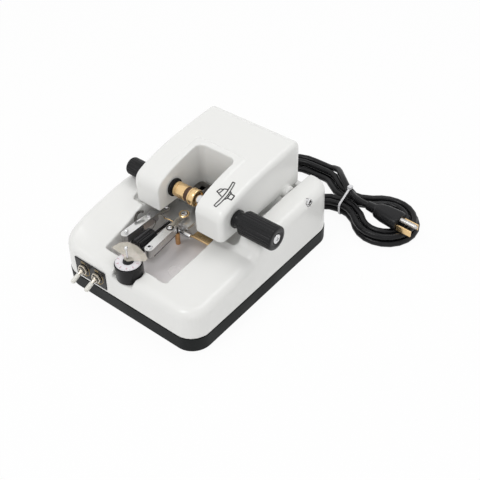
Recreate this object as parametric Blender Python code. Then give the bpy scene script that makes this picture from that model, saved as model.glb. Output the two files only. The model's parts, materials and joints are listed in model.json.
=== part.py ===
"""Bench lens groover: a white case on a black tray, a tilting head that holds and turns an eyeglass
lens between two pads, a grooving wheel with two guide arms in the well, and a mains cord in a hank.

X runs to the machine's right, Y to its back and Z up. Every solid is modelled from the middle of the
tray's footprint, and centre_on_base() moves the whole machine so that the origin is under its middle.
"""
import math

import bmesh
import bpy
from mathutils import Matrix, Vector

for old in list(bpy.data.objects):
    bpy.data.objects.remove(old, do_unlink=True)

MM = 0.001
GAP = 0.3 * MM
OVER = 2 * MM
QUARTER = math.pi / 2

# Tray and feet
BASE_W = 160 * MM
BASE_D = 200 * MM
BASE_R = 19 * MM
TRAY_TOP = 16 * MM
FOOT_H = 1 * MM
FOOT_R = 8 * MM
FOOT_INSET = 21 * MM
TRAY_WALL = 2.5 * MM
TRAY_TAPER = 0.5 * MM
TRAY_EDGE = 0.8 * MM
BOSS_R = 3 * MM
BOSS_H = 4.5 * MM

# Housing
CASE_WALL = 2.5 * MM
CASE_DRAFT = 1 * MM
CASE_ROUND = 7 * MM
FRONT_TOP = 45 * MM
EAR_TOP = 69.5 * MM
EAR_GAP = 5 * MM
LEDGE_Y = -16 * MM
LAND_IN = -40 * MM
WELL_RIGHT = 32 * MM
WELL_RIM = 20 * MM
WELL_FRONT = WELL_RIM - BASE_D / 2
WELL_BACK = -2 * MM
WELL_R = 6 * MM
WELL_FLOOR = 22 * MM
SHELF_TOP = 48 * MM
POCKET_FRONT = 41 * MM
POCKET_RIM = 8 * MM
POCKET_BACK = BASE_D / 2 - POCKET_RIM
POCKET_FLOOR = 37 * MM
LINER_T = 2 * MM

# Side profiles of the housing: places as shares of half the depth, heights as shares of the rise from the
# front edge to the top of the ears
LAND_OUTER_SHARES = [(-0.96, 0), (-0.9, 0.184), (-0.8, 0.408), (-0.7, 0.571), (-0.5, 0.755), (-0.24, 0.898),
                     (0, 0.959), (0.5, 1)]
LAND_INNER_SHARES = [(-0.96, -0.041), (-0.9, -0.02), (-0.75, 0.082), (-0.6, 0.245), (-0.38, 0.551),
                     (-0.26, 0.816), (0, 0.939), (0.5, 1)]
DECK_SHARES = [(-0.96, 0), (-0.78, 0), (-0.4, 0.122), (-0.17, 0.224), (-0.16, 0.327), (-0.13, 0.367),
               (-0.09, 0.694), (0.22, 0.735), (0.6, 0.857)]

# Head and its hinge
HINGE_Y = 63 * MM
HINGE_Z = 62.5 * MM
HINGE_R = 2.5 * MM
HINGE_HEAD_R = 4.5 * MM
HINGE_HEAD_T = 2 * MM
HEAD_W = 102 * MM
HEAD_TOP = 108 * MM
HEAD_REAR_GAP = 15 * MM
HEAD_BACK = BASE_D / 2 - HEAD_REAR_GAP
HEAD_FRONT = -28 * MM
HEAD_LOW = 62 * MM
HEAD_WALL = 2.5 * MM
HEAD_ROUND = 5 * MM
NOSE_R = 12 * MM
HEAD_ROLL = 8 * MM
EAR_IN = HEAD_W / 2 + EAR_GAP

# The head's side outline: places as shares of its length, heights as shares of the rise from brow to top
BROW_Z = 93.8 * MM
TOP_SHARES = [(0.168, 0.225), (0.416, 0.648), (0.681, 0.859)]

GAP_LEFT = -21 * MM
GAP_RIGHT = 22 * MM
GAP_BACK = 29 * MM

# Lens axis
AXIS_Y = -8 * MM
AXIS_Z = 78 * MM
SPINDLE_R = 3 * MM
HUB_R = 8.7 * MM
HUB_L = 3.7 * MM
ADAPTER_R = 7 * MM
ADAPTER_L = 12.4 * MM
PAD_T = 1.85 * MM
PAD_R = 6.6 * MM
TIP_R = 8 * MM
TIP_L = 7 * MM
CLAMP_R = 4.5 * MM
COLLAR_R = 8.5 * MM
COLLAR_STEP_R = 7.5 * MM
COLLAR_L = 6 * MM
COLLAR_STEP_L = 2.4 * MM
GRIP_R = 11.2 * MM
GRIP_L = 35 * MM
KNOB_L_R = 8.5 * MM
KNOB_L_LEN = 20 * MM
KNOB_SCREW_R = 4.5 * MM
TOOTH = 1 * MM
GEAR_TEETH = 24
PINION_TEETH = 8
GEAR_T = 3 * MM
LENS_MOTOR_R = 10 * MM
MOTOR_TO_GEAR = 4.4 * MM
MOTOR_SHAFT_R = 1 * MM

# Grinding wheel and its motor
WHEEL_Y = 12 * MM
WHEEL_Z = 62 * MM
WHEEL_R = 9 * MM
WHEEL_X = -3 * MM
WHEEL_T = 1.2 * MM
COVER_R = 12 * MM
COVER_LEFT = -12 * MM
COVER_WALL = 1.2 * MM
MOTOR_LEFT = 2 * MM
MOTOR_RIGHT = 20 * MM
MOTOR_FOOT_D = 9 * MM
AXLE_R = 1.5 * MM

# Guide arms and their frame
ARM_W = 8 * MM
ARM_LOW = 46 * MM
ARM_TOP = 54 * MM
ARM_SKIN = 1.3 * MM
LEFT_ARM_X = -32 * MM
LEFT_PIVOT = (-28 * MM, -13 * MM)
LEFT_TIP_GAP = 14 * MM
LEFT_TIP_Y = WELL_FRONT + LEFT_TIP_GAP
RIGHT_PIVOT = (-8 * MM, -11 * MM)
RIGHT_TIP_GAP = 17 * MM
RIGHT_TIP = (-2 * MM, WELL_FRONT + RIGHT_TIP_GAP)
RIGHT_REAR_Y = -30 * MM
LEFT_REAR_Y = -26 * MM
TONGUE_W = 6.4 * MM
FRAME_LEFT = -37 * MM
FRAME_RIGHT = 4 * MM
FRAME_FRONT = -20 * MM
FRAME_BACK = 5.5 * MM
FRAME_T = 2.4 * MM
PIVOT_R = 1.4 * MM
SCREW_R = 2.8 * MM
SCREW_T = 1.8 * MM
POST_X = -8.5 * MM
POST_Y = -17 * MM
POST_R = 2 * MM
CROSS_PIN_R = 1.8 * MM
CROSS_PIN_Z = 44 * MM
CROSS_PIN_RIGHT = 8 * MM
LUG_T = 3 * MM
GRIP_KNOB_X = -19.5 * MM
GRIP_KNOB_Z = 44.3 * MM
GRIP_KNOB_R = 6.2 * MM
GRIP_KNOB_GAP = 20 * MM
GRIP_KNOB_FRONT = WELL_FRONT + GRIP_KNOB_GAP
GRIP_KNOB_L = 19 * MM
SPRING_R = 1.4 * MM
SPRING_WIRE = 0.35 * MM
SPRING_TURNS = 6
PLATE_RIGHT = 31.4 * MM
PLATE_LEFT = 7 * MM
PLATE_FRONT = -19 * MM
PLATE_BACK = -6 * MM
PLATE_TOP = 42 * MM
PLATE_T = 2 * MM

# Depth dial
DIAL_X = -3 * MM
DIAL_INSET = 13 * MM
DIAL_Y = DIAL_INSET - BASE_D / 2
DIAL_R = 12.3 * MM
NOTCH_FLOOR = 38.5 * MM
NOTCH_LEFT = -14.5 * MM
NOTCH_RIGHT = 9 * MM
DIAL_TOP = 54.6 * MM
DIAL_HUB_R = 4.5 * MM
DIAL_HUB_TOP = 57.6 * MM
SCALE_T = 0.8 * MM
PIN_R = 0.9 * MM
BALL_R = 1.7 * MM
BALL_TOP = 72.5 * MM
SLEEVE_R = 2.6 * MM
SLEEVE_LOW = 30 * MM
INDEX_R = 20 * MM
INDEX_T = 1 * MM

# Switches
SWITCH_PLATE_W = 37 * MM
SWITCH_INSET = 20.5 * MM
SWITCH_PLATE_X = BASE_R + SWITCH_INSET - BASE_W / 2
SWITCH_PLATE_LOW = 19 * MM
SWITCH_PLATE_TOP = 39 * MM
SWITCH_PLATE_T = 0.9 * MM
SWITCH_PITCH = 17 * MM
SWITCH_Z = 29.5 * MM
SWITCH_BODY = 10.4 * MM
BUSH_R = 3.6 * MM
BUSH_BORE = 2.5 * MM
BUSH_L = 3.8 * MM
NUT_R = 5.4 * MM
NUT_T = 2 * MM
LEVER_BALL_R = 2.2 * MM
LEVER_NECK_R = 1.2 * MM
LEVER_TIP_R = 2.2 * MM
LEVER_L = 13.5 * MM
LEVER_DROP = math.radians(23)

# Inside the tray
TRANSFORMER = (46 * MM, 38 * MM, 26 * MM)
TRANSFORMER_SHARES = (-0.475, 0.62)
TRANSFORMER_AT = tuple(share * side / 2 for share, side in zip(TRANSFORMER_SHARES, (BASE_W, BASE_D)))
BOARD = (60 * MM, 44 * MM, 1.6 * MM)
BOARD_SHARES = (0.45, 0.5)
BOARD_AT = tuple(share * side / 2 for share, side in zip(BOARD_SHARES, (BASE_W, BASE_D)))

# Cord
CORD_R = 3.25 * MM
CORD_X = -45 * MM
CORD_Z = 28 * MM
RELIEF_L = 22 * MM
RELIEF_R = 5 * MM
HANK_AT = (70.5 * MM, 142 * MM)
HANK_PITCH = 7.5 * MM
HANK_LOOPS = 4
HANK_STEPS = 24
HANK_LOBE = 34 * MM
HANK_BEND = 26 * MM
HANK_WAIST = 2 * HANK_PITCH
HANK_RUN = 22 * MM
TIE_L = 7 * MM
TIE_T = 1.2 * MM
TIE_LIFT = TIE_T + GAP
PLUG_AT = (97 * MM, 136.5 * MM, 20.8 * MM)
PLUG_TURN = math.radians(-3)
PLUG_L = 38 * MM
PLUG_W = 22 * MM
PLUG_H = 13.2 * MM
PIN_L = 16 * MM
PIN_W = 6.3 * MM
PIN_T = 1.5 * MM
PIN_PITCH = 12.7 * MM
EARTH_R = 2.3 * MM
EARTH_DROP = 2.5 * MM

# The plug's body: shares of its length, and of half its width and height
PLUG_SHARES = [(0, 0.4, 0.667), (0.237, 0.473, 0.788), (0.316, 0.727, 0.939), (0.526, 0.909, 1), (0.895, 1, 1),
               (1, 0.945, 0.939)]

# The cord's own route where it isn't coiled, in millimetres
LEAD_STOPS = [(-45, 140, 25.5), (-40, 156, 16), (-26, 169, 6.5), (-8, 175.5, 3.5)]
TAIL_STOPS = [(38, 173, 15.5), (52, 160, 19.6), (70.5, 145, 19.8), (83, 138.5, 20.6)]

COLOURS = {
    "white_case": ((0.84, 0.84, 0.82), 0.30, 0.0),
    "black_plastic": ((0.018, 0.020, 0.021), 0.38, 0.0),
    "black_rubber": ((0.02, 0.02, 0.02), 0.75, 0.0),
    "grey_floor": ((0.42, 0.39, 0.39), 0.5, 0.0),
    "chrome": ((0.66, 0.66, 0.66), 0.16, 1.0),
    "steel": ((0.48, 0.48, 0.47), 0.32, 1.0),
    "brass": ((0.60, 0.40, 0.14), 0.28, 1.0),
    "copper": ((0.52, 0.25, 0.10), 0.35, 1.0),
    "dial_white": ((0.82, 0.80, 0.80), 0.4, 0.0),
    "lever_ivory": ((0.78, 0.76, 0.68), 0.35, 0.0),
    "clear_plate": ((0.62, 0.58, 0.50), 0.12, 0.0),
    "tie_white": ((0.85, 0.85, 0.84), 0.4, 0.0),
    "green_board": ((0.03, 0.16, 0.07), 0.5, 0.0),
}
materials = {}


def material(name):
    """The Principled material of one finish, made once."""
    if name not in materials:
        colour, roughness, metallic = COLOURS[name]
        made = bpy.data.materials.new(name)
        made.use_nodes = True
        shader = made.node_tree.nodes["Principled BSDF"]
        shader.inputs["Base Color"].default_value = (*colour, 1)
        shader.inputs["Roughness"].default_value = roughness
        shader.inputs["Metallic"].default_value = metallic
        made.diffuse_color = (*colour, 1)
        materials[name] = made
    return materials[name]


def place_of(ob):
    """Where an object's origin lies in the machine's frame: no carrier here is turned."""
    place = Vector()
    while ob is not None:
        place += ob.location
        ob = ob.parent
    return place


machine = bpy.data.objects.new("machine", None)
bpy.context.scene.collection.objects.link(machine)


def solid(name, bm, finish, pivot=(0, 0, 0), carrier=None, smooth=35):
    """One named object from a bmesh in the machine's frame, with its origin at the pivot."""
    bmesh.ops.remove_doubles(bm, verts=bm.verts, dist=MM / 1000)
    bmesh.ops.recalc_face_normals(bm, faces=bm.faces)
    bmesh.ops.translate(bm, verts=bm.verts, vec=-Vector(pivot))
    mesh = bpy.data.meshes.new(name)
    bm.to_mesh(mesh)
    bm.free()
    mesh.shade_smooth()
    mesh.set_sharp_from_angle(angle=math.radians(smooth))
    mesh.materials.append(material(finish))
    ob = bpy.data.objects.new(name, mesh)
    bpy.context.scene.collection.objects.link(ob)
    ob.parent = carrier or machine
    ob.location = Vector(pivot) - place_of(ob.parent)
    return ob


def shape(name, bm):
    """A construction shape: it cuts or joins, and isn't part of the machine."""
    ob = solid("make_" + name, bm, "white_case")
    ob.hide_render = True
    ob.display_type = "WIRE"
    return ob


def combine(target, tool, operation="DIFFERENCE"):
    """An exact Boolean that stays on the object as a modifier."""
    step = target.modifiers.new(operation.lower(), "BOOLEAN")
    step.operation = operation
    step.solver = "EXACT"
    step.object = tool


def loft(rings):
    """A closed solid through rings of equally many points, with flat ends."""
    bm = bmesh.new()
    layers = [[bm.verts.new(p) for p in ring] for ring in rings]
    for low, high in zip(layers, layers[1:]):
        for i in range(len(low)):
            j = (i + 1) % len(low)
            bm.faces.new((low[i], low[j], high[j], high[i]))
    bm.faces.new(layers[0][::-1])
    bm.faces.new(layers[-1])
    return bm


def box(left, right, front, back, low, high):
    """A block between six planes."""
    corners = [(left, front), (right, front), (right, back), (left, back)]
    return loft([[(x, y, z) for x, y in corners] for z in (low, high)])


def rounded(half_w, half_d, radius, steps=6, middle=(0, 0)):
    """The outline of a rectangle with round corners, counter-clockwise from its back right arc."""
    points = []
    for turn, (sx, sy) in enumerate([(1, 1), (-1, 1), (-1, -1), (1, -1)]):
        for i in range(steps + 1):
            a = QUARTER * (turn + i / steps)
            points.append((middle[0] + sx * (half_w - radius) + radius * math.cos(a),
                           middle[1] + sy * (half_d - radius) + radius * math.sin(a)))
    return points


def stadium(start, end, radius, steps=8):
    """The outline of a bar with round ends from one plan point to another."""
    way = Vector(end) - Vector(start)
    heading = math.atan2(way.y, way.x)
    points = []
    for middle, first in ((end, heading - QUARTER), (start, heading + QUARTER)):
        for i in range(steps + 1):
            a = first + math.pi * i / steps
            points.append((middle[0] + radius * math.cos(a), middle[1] + radius * math.sin(a)))
    return points


def slab(outline, low, high):
    """A plan outline carried up from one height to another."""
    return loft([[(x, y, z) for x, y in outline] for z in (low, high)])


def turned(profile, at, axis="Z", steps=24, closed=False, flute=0.0, shares=None):
    """A lathe shape from (radius, place along the axis) pairs. Every second point of a ring is drawn in
    by the flute's depth times that ring's share of it."""
    bm = bmesh.new()
    rings = []
    for k, (radius, along) in enumerate(profile):
        depth = flute * (shares[k] if shares else 0)
        if radius == 0:
            rings.append([bm.verts.new((0, 0, along))])
            continue
        ring = []
        for i in range(steps):
            a = 2 * math.pi * i / steps
            r = radius - depth * (i % 2)
            ring.append(bm.verts.new((r * math.cos(a), r * math.sin(a), along)))
        rings.append(ring)
    pairs = list(zip(rings, rings[1:])) + ([(rings[-1], rings[0])] if closed else [])
    for low, high in pairs:
        for i in range(steps):
            j = (i + 1) % steps
            corners = [low[i % len(low)], low[j % len(low)], high[j % len(high)], high[i % len(high)]]
            unique = list(dict.fromkeys(corners))
            if len(unique) > 2:
                bm.faces.new(unique)
    if not closed:
        for ring in (rings[0], rings[-1]):
            if len(ring) > 1:
                bm.faces.new(ring)
    turn = {"Z": Matrix(), "X": Matrix.Rotation(QUARTER, 4, "Y"), "Y": Matrix.Rotation(-QUARTER, 4, "X")}
    bmesh.ops.transform(bm, matrix=Matrix.Translation(at) @ turn[axis], verts=bm.verts)
    return bm


def tube_ring(outer, inner, low, high):
    """The closed profile of a plain ring for turned()."""
    return [(outer, low), (outer, high), (inner, high), (inner, low)]


def ball_profile(radius, middle, start=-90, end=90, steps=6):
    """Profile points of a ball between two latitudes in degrees."""
    points = []
    for i in range(steps + 1):
        a = math.radians(start + (end - start) * i / steps)
        r = 0 if abs(abs(a) - QUARTER) < math.radians(1) else radius * math.cos(a)
        points.append((r, middle + radius * math.sin(a)))
    return points


def height_at(profile, y):
    """A height read off a side profile given in shares."""
    places = [(a * BASE_D / 2, FRONT_TOP + b * (EAR_TOP - FRONT_TOP)) for a, b in profile]
    if y <= places[0][0]:
        return places[0][1]
    for (y0, z0), (y1, z1) in zip(places, places[1:]):
        if y <= y1:
            return z0 + (z1 - z0) * (y - y0) / (y1 - y0)
    return places[-1][1]


def case_height(x, y):
    """Height of the housing's outer skin before the wells are cut."""
    left_in = height_at(LAND_INNER_SHARES, y)
    if x <= LAND_IN:
        share = min(1, (LAND_IN - x) / (BASE_W / 2 - CASE_ROUND + LAND_IN))
        return left_in + (height_at(LAND_OUTER_SHARES, y) - left_in) * share
    right = height_at(DECK_SHARES, y)
    share = min(1, (x - LAND_IN) / (WELL_RIGHT - LAND_IN))
    return left_in + (right - left_in) * share


def case_block(inset, low, arcs=5, steps=4):
    """The housing's block of surfaces: a grid on top whose edge rolls down into the walls."""
    radius = CASE_ROUND - inset
    inner_w = BASE_W / 2 - CASE_DRAFT - CASE_ROUND
    inner_d = BASE_D / 2 - CASE_DRAFT - CASE_ROUND
    corner = BASE_R - CASE_ROUND
    straight = inner_d - corner
    arc = [(corner * math.sin(QUARTER * i / arcs), corner * math.cos(QUARTER * i / arcs)) for i in range(arcs + 1)]
    rows = [(inner_w - corner + dx, -straight - dy, (dx / corner, -dy / corner)) for dx, dy in arc]
    knots = sorted({b[0] * BASE_D / 2 for b in LAND_OUTER_SHARES + LAND_INNER_SHARES + DECK_SHARES})
    rows += [(inner_w, y, (1, 0)) for y in knots if -straight < y < straight]
    rows += [(x, -y, (n[0], -n[1])) for x, y, n in reversed(rows[:arcs + 1])]
    columns = [LAND_IN, (LAND_IN + DIAL_X) / 2, DIAL_X, WELL_RIGHT]

    bm = bmesh.new()
    grid = []
    for edge_x, y, normal in rows:
        xs = [-edge_x] + columns + [edge_x]
        grid.append([bm.verts.new((x, y, case_height(x, y) - inset)) for x in xs])
    for near, far in zip(grid, grid[1:]):
        for i in range(len(near) - 1):
            bm.faces.new((near[i], near[i + 1], far[i + 1], far[i]))

    last = len(columns) + 1
    edge = [(grid[0][i], (0, -1)) for i in range(1, last)]
    edge += [(line[last], row[2]) for line, row in zip(grid, rows)]
    edge += [(grid[-1][i], (0, 1)) for i in range(last - 1, 0, -1)]
    edge += [(line[0], (-row[2][0], row[2][1])) for line, row in reversed(list(zip(grid, rows)))]
    ring = [v for v, _ in edge]
    starts = [v.co.copy() for v in ring]
    for k in range(1, steps + 2):
        a = QUARTER * min(k, steps) / steps
        out = radius * math.sin(a) + (CASE_DRAFT if k > steps else 0)
        new = []
        for (_, normal), start in zip(edge, starts):
            z = low if k > steps else start.z - radius * (1 - math.cos(a))
            new.append(bm.verts.new((start.x + normal[0] * out, start.y + normal[1] * out, z)))
        for i in range(len(ring)):
            j = (i + 1) % len(ring)
            bm.faces.new((ring[j], ring[i], new[i], new[j]))
        ring = new
    bm.faces.new(ring)
    return bm


def make_tray():
    """Base tray with its hollow, four board bosses and four feet."""
    half_w, half_d = BASE_W / 2, BASE_D / 2
    low = FOOT_H + GAP
    skin = [(TRAY_TAPER + TRAY_EDGE, low), (TRAY_TAPER, low + TRAY_EDGE), (0, TRAY_TOP)]
    hollow = [(TRAY_WALL, TRAY_TOP), (TRAY_TAPER + TRAY_WALL, low + TRAY_WALL)]
    rings = []
    for inset, z in skin + hollow:
        rings.append([(x, y, z) for x, y in rounded(half_w - inset, half_d - inset, BASE_R - inset)])
    tray = solid("base_tray", loft(rings), "black_plastic")
    floor = low + TRAY_WALL
    for k, (sx, sy) in enumerate([(-1, -1), (1, -1), (1, 1), (-1, 1)]):
        x = BOARD_AT[0] + sx * (BOARD[0] / 2 - BOSS_R)
        y = BOARD_AT[1] + sy * (BOARD[1] / 2 - BOSS_R)
        boss = turned([(BOSS_R, floor - TRAY_WALL / 2), (BOSS_R, floor + BOSS_H)], (x, y, 0), steps=12)
        combine(tray, shape("boss_%d" % (k + 1), boss), "UNION")
        at = (sx * (half_w - FOOT_INSET), sy * (half_d - FOOT_INSET), 0)
        foot = turned([(FOOT_R, 0), (FOOT_R, FOOT_H)], at, steps=20)
        solid("foot_%d" % (k + 1), foot, "black_rubber")
    return tray, floor


def make_housing():
    """White housing: shell, well, head recess, dial notch and its holes."""
    low = TRAY_TOP + GAP
    case = solid("housing", case_block(0, low), "white_case")
    hollow = shape("case_hollow", case_block(CASE_WALL, low - OVER, 3, 2))
    well = slab(rounded((WELL_RIGHT - LAND_IN) / 2, (WELL_BACK - WELL_FRONT) / 2, WELL_R,
                        middle=((WELL_RIGHT + LAND_IN) / 2, (WELL_BACK + WELL_FRONT) / 2)),
                WELL_FLOOR, EAR_TOP + OVER)
    grown = WELL_R + CASE_WALL
    well_wall = slab(rounded((WELL_RIGHT - LAND_IN) / 2 + CASE_WALL, (WELL_BACK - WELL_FRONT) / 2 + CASE_WALL,
                             grown, middle=((WELL_RIGHT + LAND_IN) / 2, (WELL_BACK + WELL_FRONT) / 2)),
                     WELL_FLOOR - CASE_WALL, EAR_TOP + OVER)
    behind = BASE_D / 2 + OVER
    recess = box(-EAR_IN, EAR_IN, LEDGE_Y + OVER, behind, SHELF_TOP, EAR_TOP + OVER)
    recess_wall = box(-EAR_IN - CASE_WALL, EAR_IN + CASE_WALL, LEDGE_Y + OVER - CASE_WALL, behind + OVER,
                      SHELF_TOP - CASE_WALL, EAR_TOP + OVER)
    seat = HEAD_W / 2 + OVER
    arm_room = box(-seat, seat, HEAD_FRONT - OVER, LEDGE_Y + 2 * OVER, HEAD_LOW - OVER, EAR_TOP + OVER)
    arm_wall = box(-seat - CASE_WALL, seat + CASE_WALL, HEAD_FRONT - OVER - CASE_WALL, LEDGE_Y + OVER,
                   HEAD_LOW - OVER - CASE_WALL, EAR_TOP + OVER)
    pocket = box(-EAR_IN, EAR_IN, POCKET_FRONT, POCKET_BACK, POCKET_FLOOR, SHELF_TOP + OVER)
    pocket_wall = box(-EAR_IN - CASE_WALL, EAR_IN + CASE_WALL, POCKET_FRONT - CASE_WALL,
                      POCKET_BACK + CASE_WALL, POCKET_FLOOR - CASE_WALL, SHELF_TOP)
    notch_wall = box(NOTCH_LEFT - CASE_WALL, NOTCH_RIGHT + CASE_WALL, -behind, WELL_FRONT,
                     NOTCH_FLOOR - CASE_WALL, FRONT_TOP)
    for name, bm in (("well_wall", well_wall), ("recess_wall", recess_wall), ("pocket_wall", pocket_wall),
                     ("notch_wall", notch_wall), ("arm_wall", arm_wall)):
        combine(hollow, shape(name, bm))
    combine(case, hollow)
    for name, bm in (("well", well), ("recess", recess), ("arm_room", arm_room), ("pocket", pocket)):
        combine(case, shape(name, bm))
    dial_room = turned([(DIAL_R + 2 * GAP, NOTCH_FLOOR), (DIAL_R + 2 * GAP, FRONT_TOP + OVER)],
                       (DIAL_X, DIAL_Y, 0), steps=32)
    combine(case, shape("dial_room", dial_room))
    mouth = box(NOTCH_LEFT, NOTCH_RIGHT, -behind, DIAL_Y, NOTCH_FLOOR + GAP / 2, FRONT_TOP + OVER)
    combine(case, shape("dial_mouth", mouth))
    sleeve = turned([(SLEEVE_R + GAP, NOTCH_FLOOR - CASE_WALL - OVER), (SLEEVE_R + GAP, NOTCH_FLOOR + OVER)],
                    (DIAL_X, DIAL_Y, 0), steps=16)
    combine(case, shape("sleeve_hole", sleeve))
    return case


def make_liner():
    """Grey floor plate in the well."""
    low = WELL_FLOOR + GAP
    half_w = (WELL_RIGHT - LAND_IN) / 2 - GAP
    half_d = (WELL_BACK - WELL_FRONT) / 2 - GAP
    middle = ((WELL_RIGHT + LAND_IN) / 2, (WELL_BACK + WELL_FRONT) / 2)
    solid("well_floor", slab(rounded(half_w, half_d, WELL_R, middle=middle), low, low + LINER_T), "grey_floor")
    return low + LINER_T


def hinge_line(case, head):
    """Chrome hinge screws through the ears into the head's bosses, with their holes."""
    outside = BASE_W / 2
    seat = outside - CASE_DRAFT - HINGE_HEAD_T - GAP
    for side, name in ((-1, "left"), (1, "right")):
        at = (0, HINGE_Y, HINGE_Z)
        inner = HEAD_W / 2 - HEAD_WALL - GAP
        profile = [(HINGE_R, side * inner), (HINGE_R, side * seat), (HINGE_HEAD_R, side * seat),
                   (HINGE_HEAD_R, side * (seat + HINGE_HEAD_T))]
        solid("hinge_screw_" + name, turned(profile, at, "X", 20), "chrome")
        bore = [(HINGE_R + GAP, side * (inner - OVER)), (HINGE_R + GAP, side * (outside + OVER))]
        shaft = shape("hinge_bore_" + name, turned(bore, at, "X", 20))
        combine(case, shaft)
        combine(head, shaft)
        sink = [(HINGE_HEAD_R + GAP, side * (seat - GAP)), (HINGE_HEAD_R + GAP, side * (outside + OVER))]
        combine(case, shape("hinge_sink_" + name, turned(sink, at, "X", 20)))


def head_outline(inset, low):
    """The head's side outline from its low front corner over the top to its low back corner."""
    nose = NOSE_R - inset
    front = HEAD_FRONT + inset
    points = [(front, low)]
    rise = HEAD_TOP - BROW_Z
    middle = (front + nose, BROW_Z - NOSE_R)
    for i in range(7):
        a = math.pi - math.radians(66) * i / 6
        points.append((middle[0] + nose * math.cos(a), middle[1] + nose * math.sin(a)))
    points += [(HEAD_FRONT + along * (HEAD_BACK - HEAD_FRONT), BROW_Z + up * rise - inset)
               for along, up in TOP_SHARES]
    back = HEAD_BACK - inset
    roll = HEAD_ROLL - inset
    middle = (back - roll, HEAD_TOP - inset - roll)
    for i in range(6):
        a = QUARTER - QUARTER * i / 5
        points.append((middle[0] + roll * math.cos(a), middle[1] + roll * math.sin(a)))
    points.append((back, low))
    return points


def head_block(inset, low):
    """The head as a block along X whose side edges are rolled over."""
    radius = HEAD_ROUND - inset if HEAD_ROUND > inset else GAP
    half = HEAD_W / 2 - inset
    rings = []
    outline = head_outline(inset, low)
    centre = Vector((sum(p[0] for p in outline) / len(outline), low))
    steps = 3
    stations = [(-1, i) for i in range(steps + 1)] + [(1, i) for i in range(steps, -1, -1)]
    for side, i in stations:
        a = QUARTER * i / steps
        x = side * (half - radius * (1 - math.cos(a)))
        shrink = radius * (1 - math.sin(a))
        rings.append([(x, *inward(outline, k, shrink, low, centre)) for k in range(len(outline))])
    return loft(rings)


def inward(outline, k, shrink, low, centre):
    """An outline point drawn in along the mean of its neighbours' normals, but never off the flat foot."""
    here = Vector(outline[k])
    before = Vector(outline[k - 1]) if k else Vector((outline[0][0], low - OVER))
    after = Vector(outline[k + 1]) if k + 1 < len(outline) else Vector((outline[-1][0], low - OVER))
    way = ((here - before).normalized() + (after - here).normalized()).normalized()
    normal = Vector((way.y, -way.x))
    moved = here + normal * shrink
    return (moved.x, low if here.y == low else moved.y)


def make_head():
    """White tilting head: shell open below, with a gap between its two arms."""
    head = solid("head_cover", head_block(0, HEAD_LOW), "white_case", (0, HINGE_Y, HINGE_Z))
    hollow = shape("head_hollow", head_block(HEAD_WALL, HINGE_Z - HINGE_HEAD_R - 2 * OVER))
    gap = box(GAP_LEFT, GAP_RIGHT, HEAD_FRONT - OVER, GAP_BACK, HEAD_LOW - 2 * OVER, HEAD_TOP + OVER)
    gap_wall = box(GAP_LEFT - HEAD_WALL, GAP_RIGHT + HEAD_WALL, HEAD_FRONT - 2 * OVER, GAP_BACK + HEAD_WALL,
                   HEAD_LOW - 6 * OVER, HEAD_TOP + OVER)
    combine(hollow, shape("gap_wall", gap_wall))
    boss_w = EAR_IN - GAP
    boss = turned([(HINGE_HEAD_R + OVER, -boss_w), (HINGE_HEAD_R + OVER, boss_w)],
                  (0, HINGE_Y, HINGE_Z), "X", 20)
    combine(head, shape("hinge_boss", boss), "UNION")
    combine(head, hollow)
    combine(head, shape("head_gap", gap))
    return head


def lens_bores(head):
    """Holes for the two spindles through the arms' walls."""
    half = HEAD_W / 2
    for name, radius, left, right in (("left", SPINDLE_R, -half, GAP_LEFT), ("right", CLAMP_R, GAP_RIGHT, half)):
        bore = [(radius + GAP, left - OVER), (radius + GAP, right + OVER)]
        combine(head, shape("lens_bore_" + name, turned(bore, (0, AXIS_Y, AXIS_Z), "X", 20)))


def gear(teeth, left, right, bore, at, phase=0.0):
    """A spur gear along X with a bore, as the ring between two outlines."""
    root, tip = TOOTH * (teeth / 2 - 1.2), TOOTH * (teeth / 2 + 0.8)
    shares = [(phase - 0.24, root), (phase - 0.07, tip), (phase + 0.07, tip), (phase + 0.24, root)]
    rings = []
    outline = []
    for k in range(teeth):
        for turn, radius in shares:
            a = 2 * math.pi * (k + turn) / teeth
            outline.append((radius * math.cos(a), radius * math.sin(a)))
    for inner, x in ((False, left), (False, right), (True, right), (True, left)):
        ring = []
        for y, z in outline:
            scale = bore / math.hypot(y, z) if inner else 1
            ring.append((at[0] + x, at[1] + y * scale, at[2] + z * scale))
        rings.append(ring)
    bm = bmesh.new()
    layers = [[bm.verts.new(p) for p in ring] for ring in rings]
    for low, high in zip(layers, layers[1:] + layers[:1]):
        for i in range(len(low)):
            j = (i + 1) % len(low)
            bm.faces.new((low[i], low[j], high[j], high[i]))
    return bm


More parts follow.
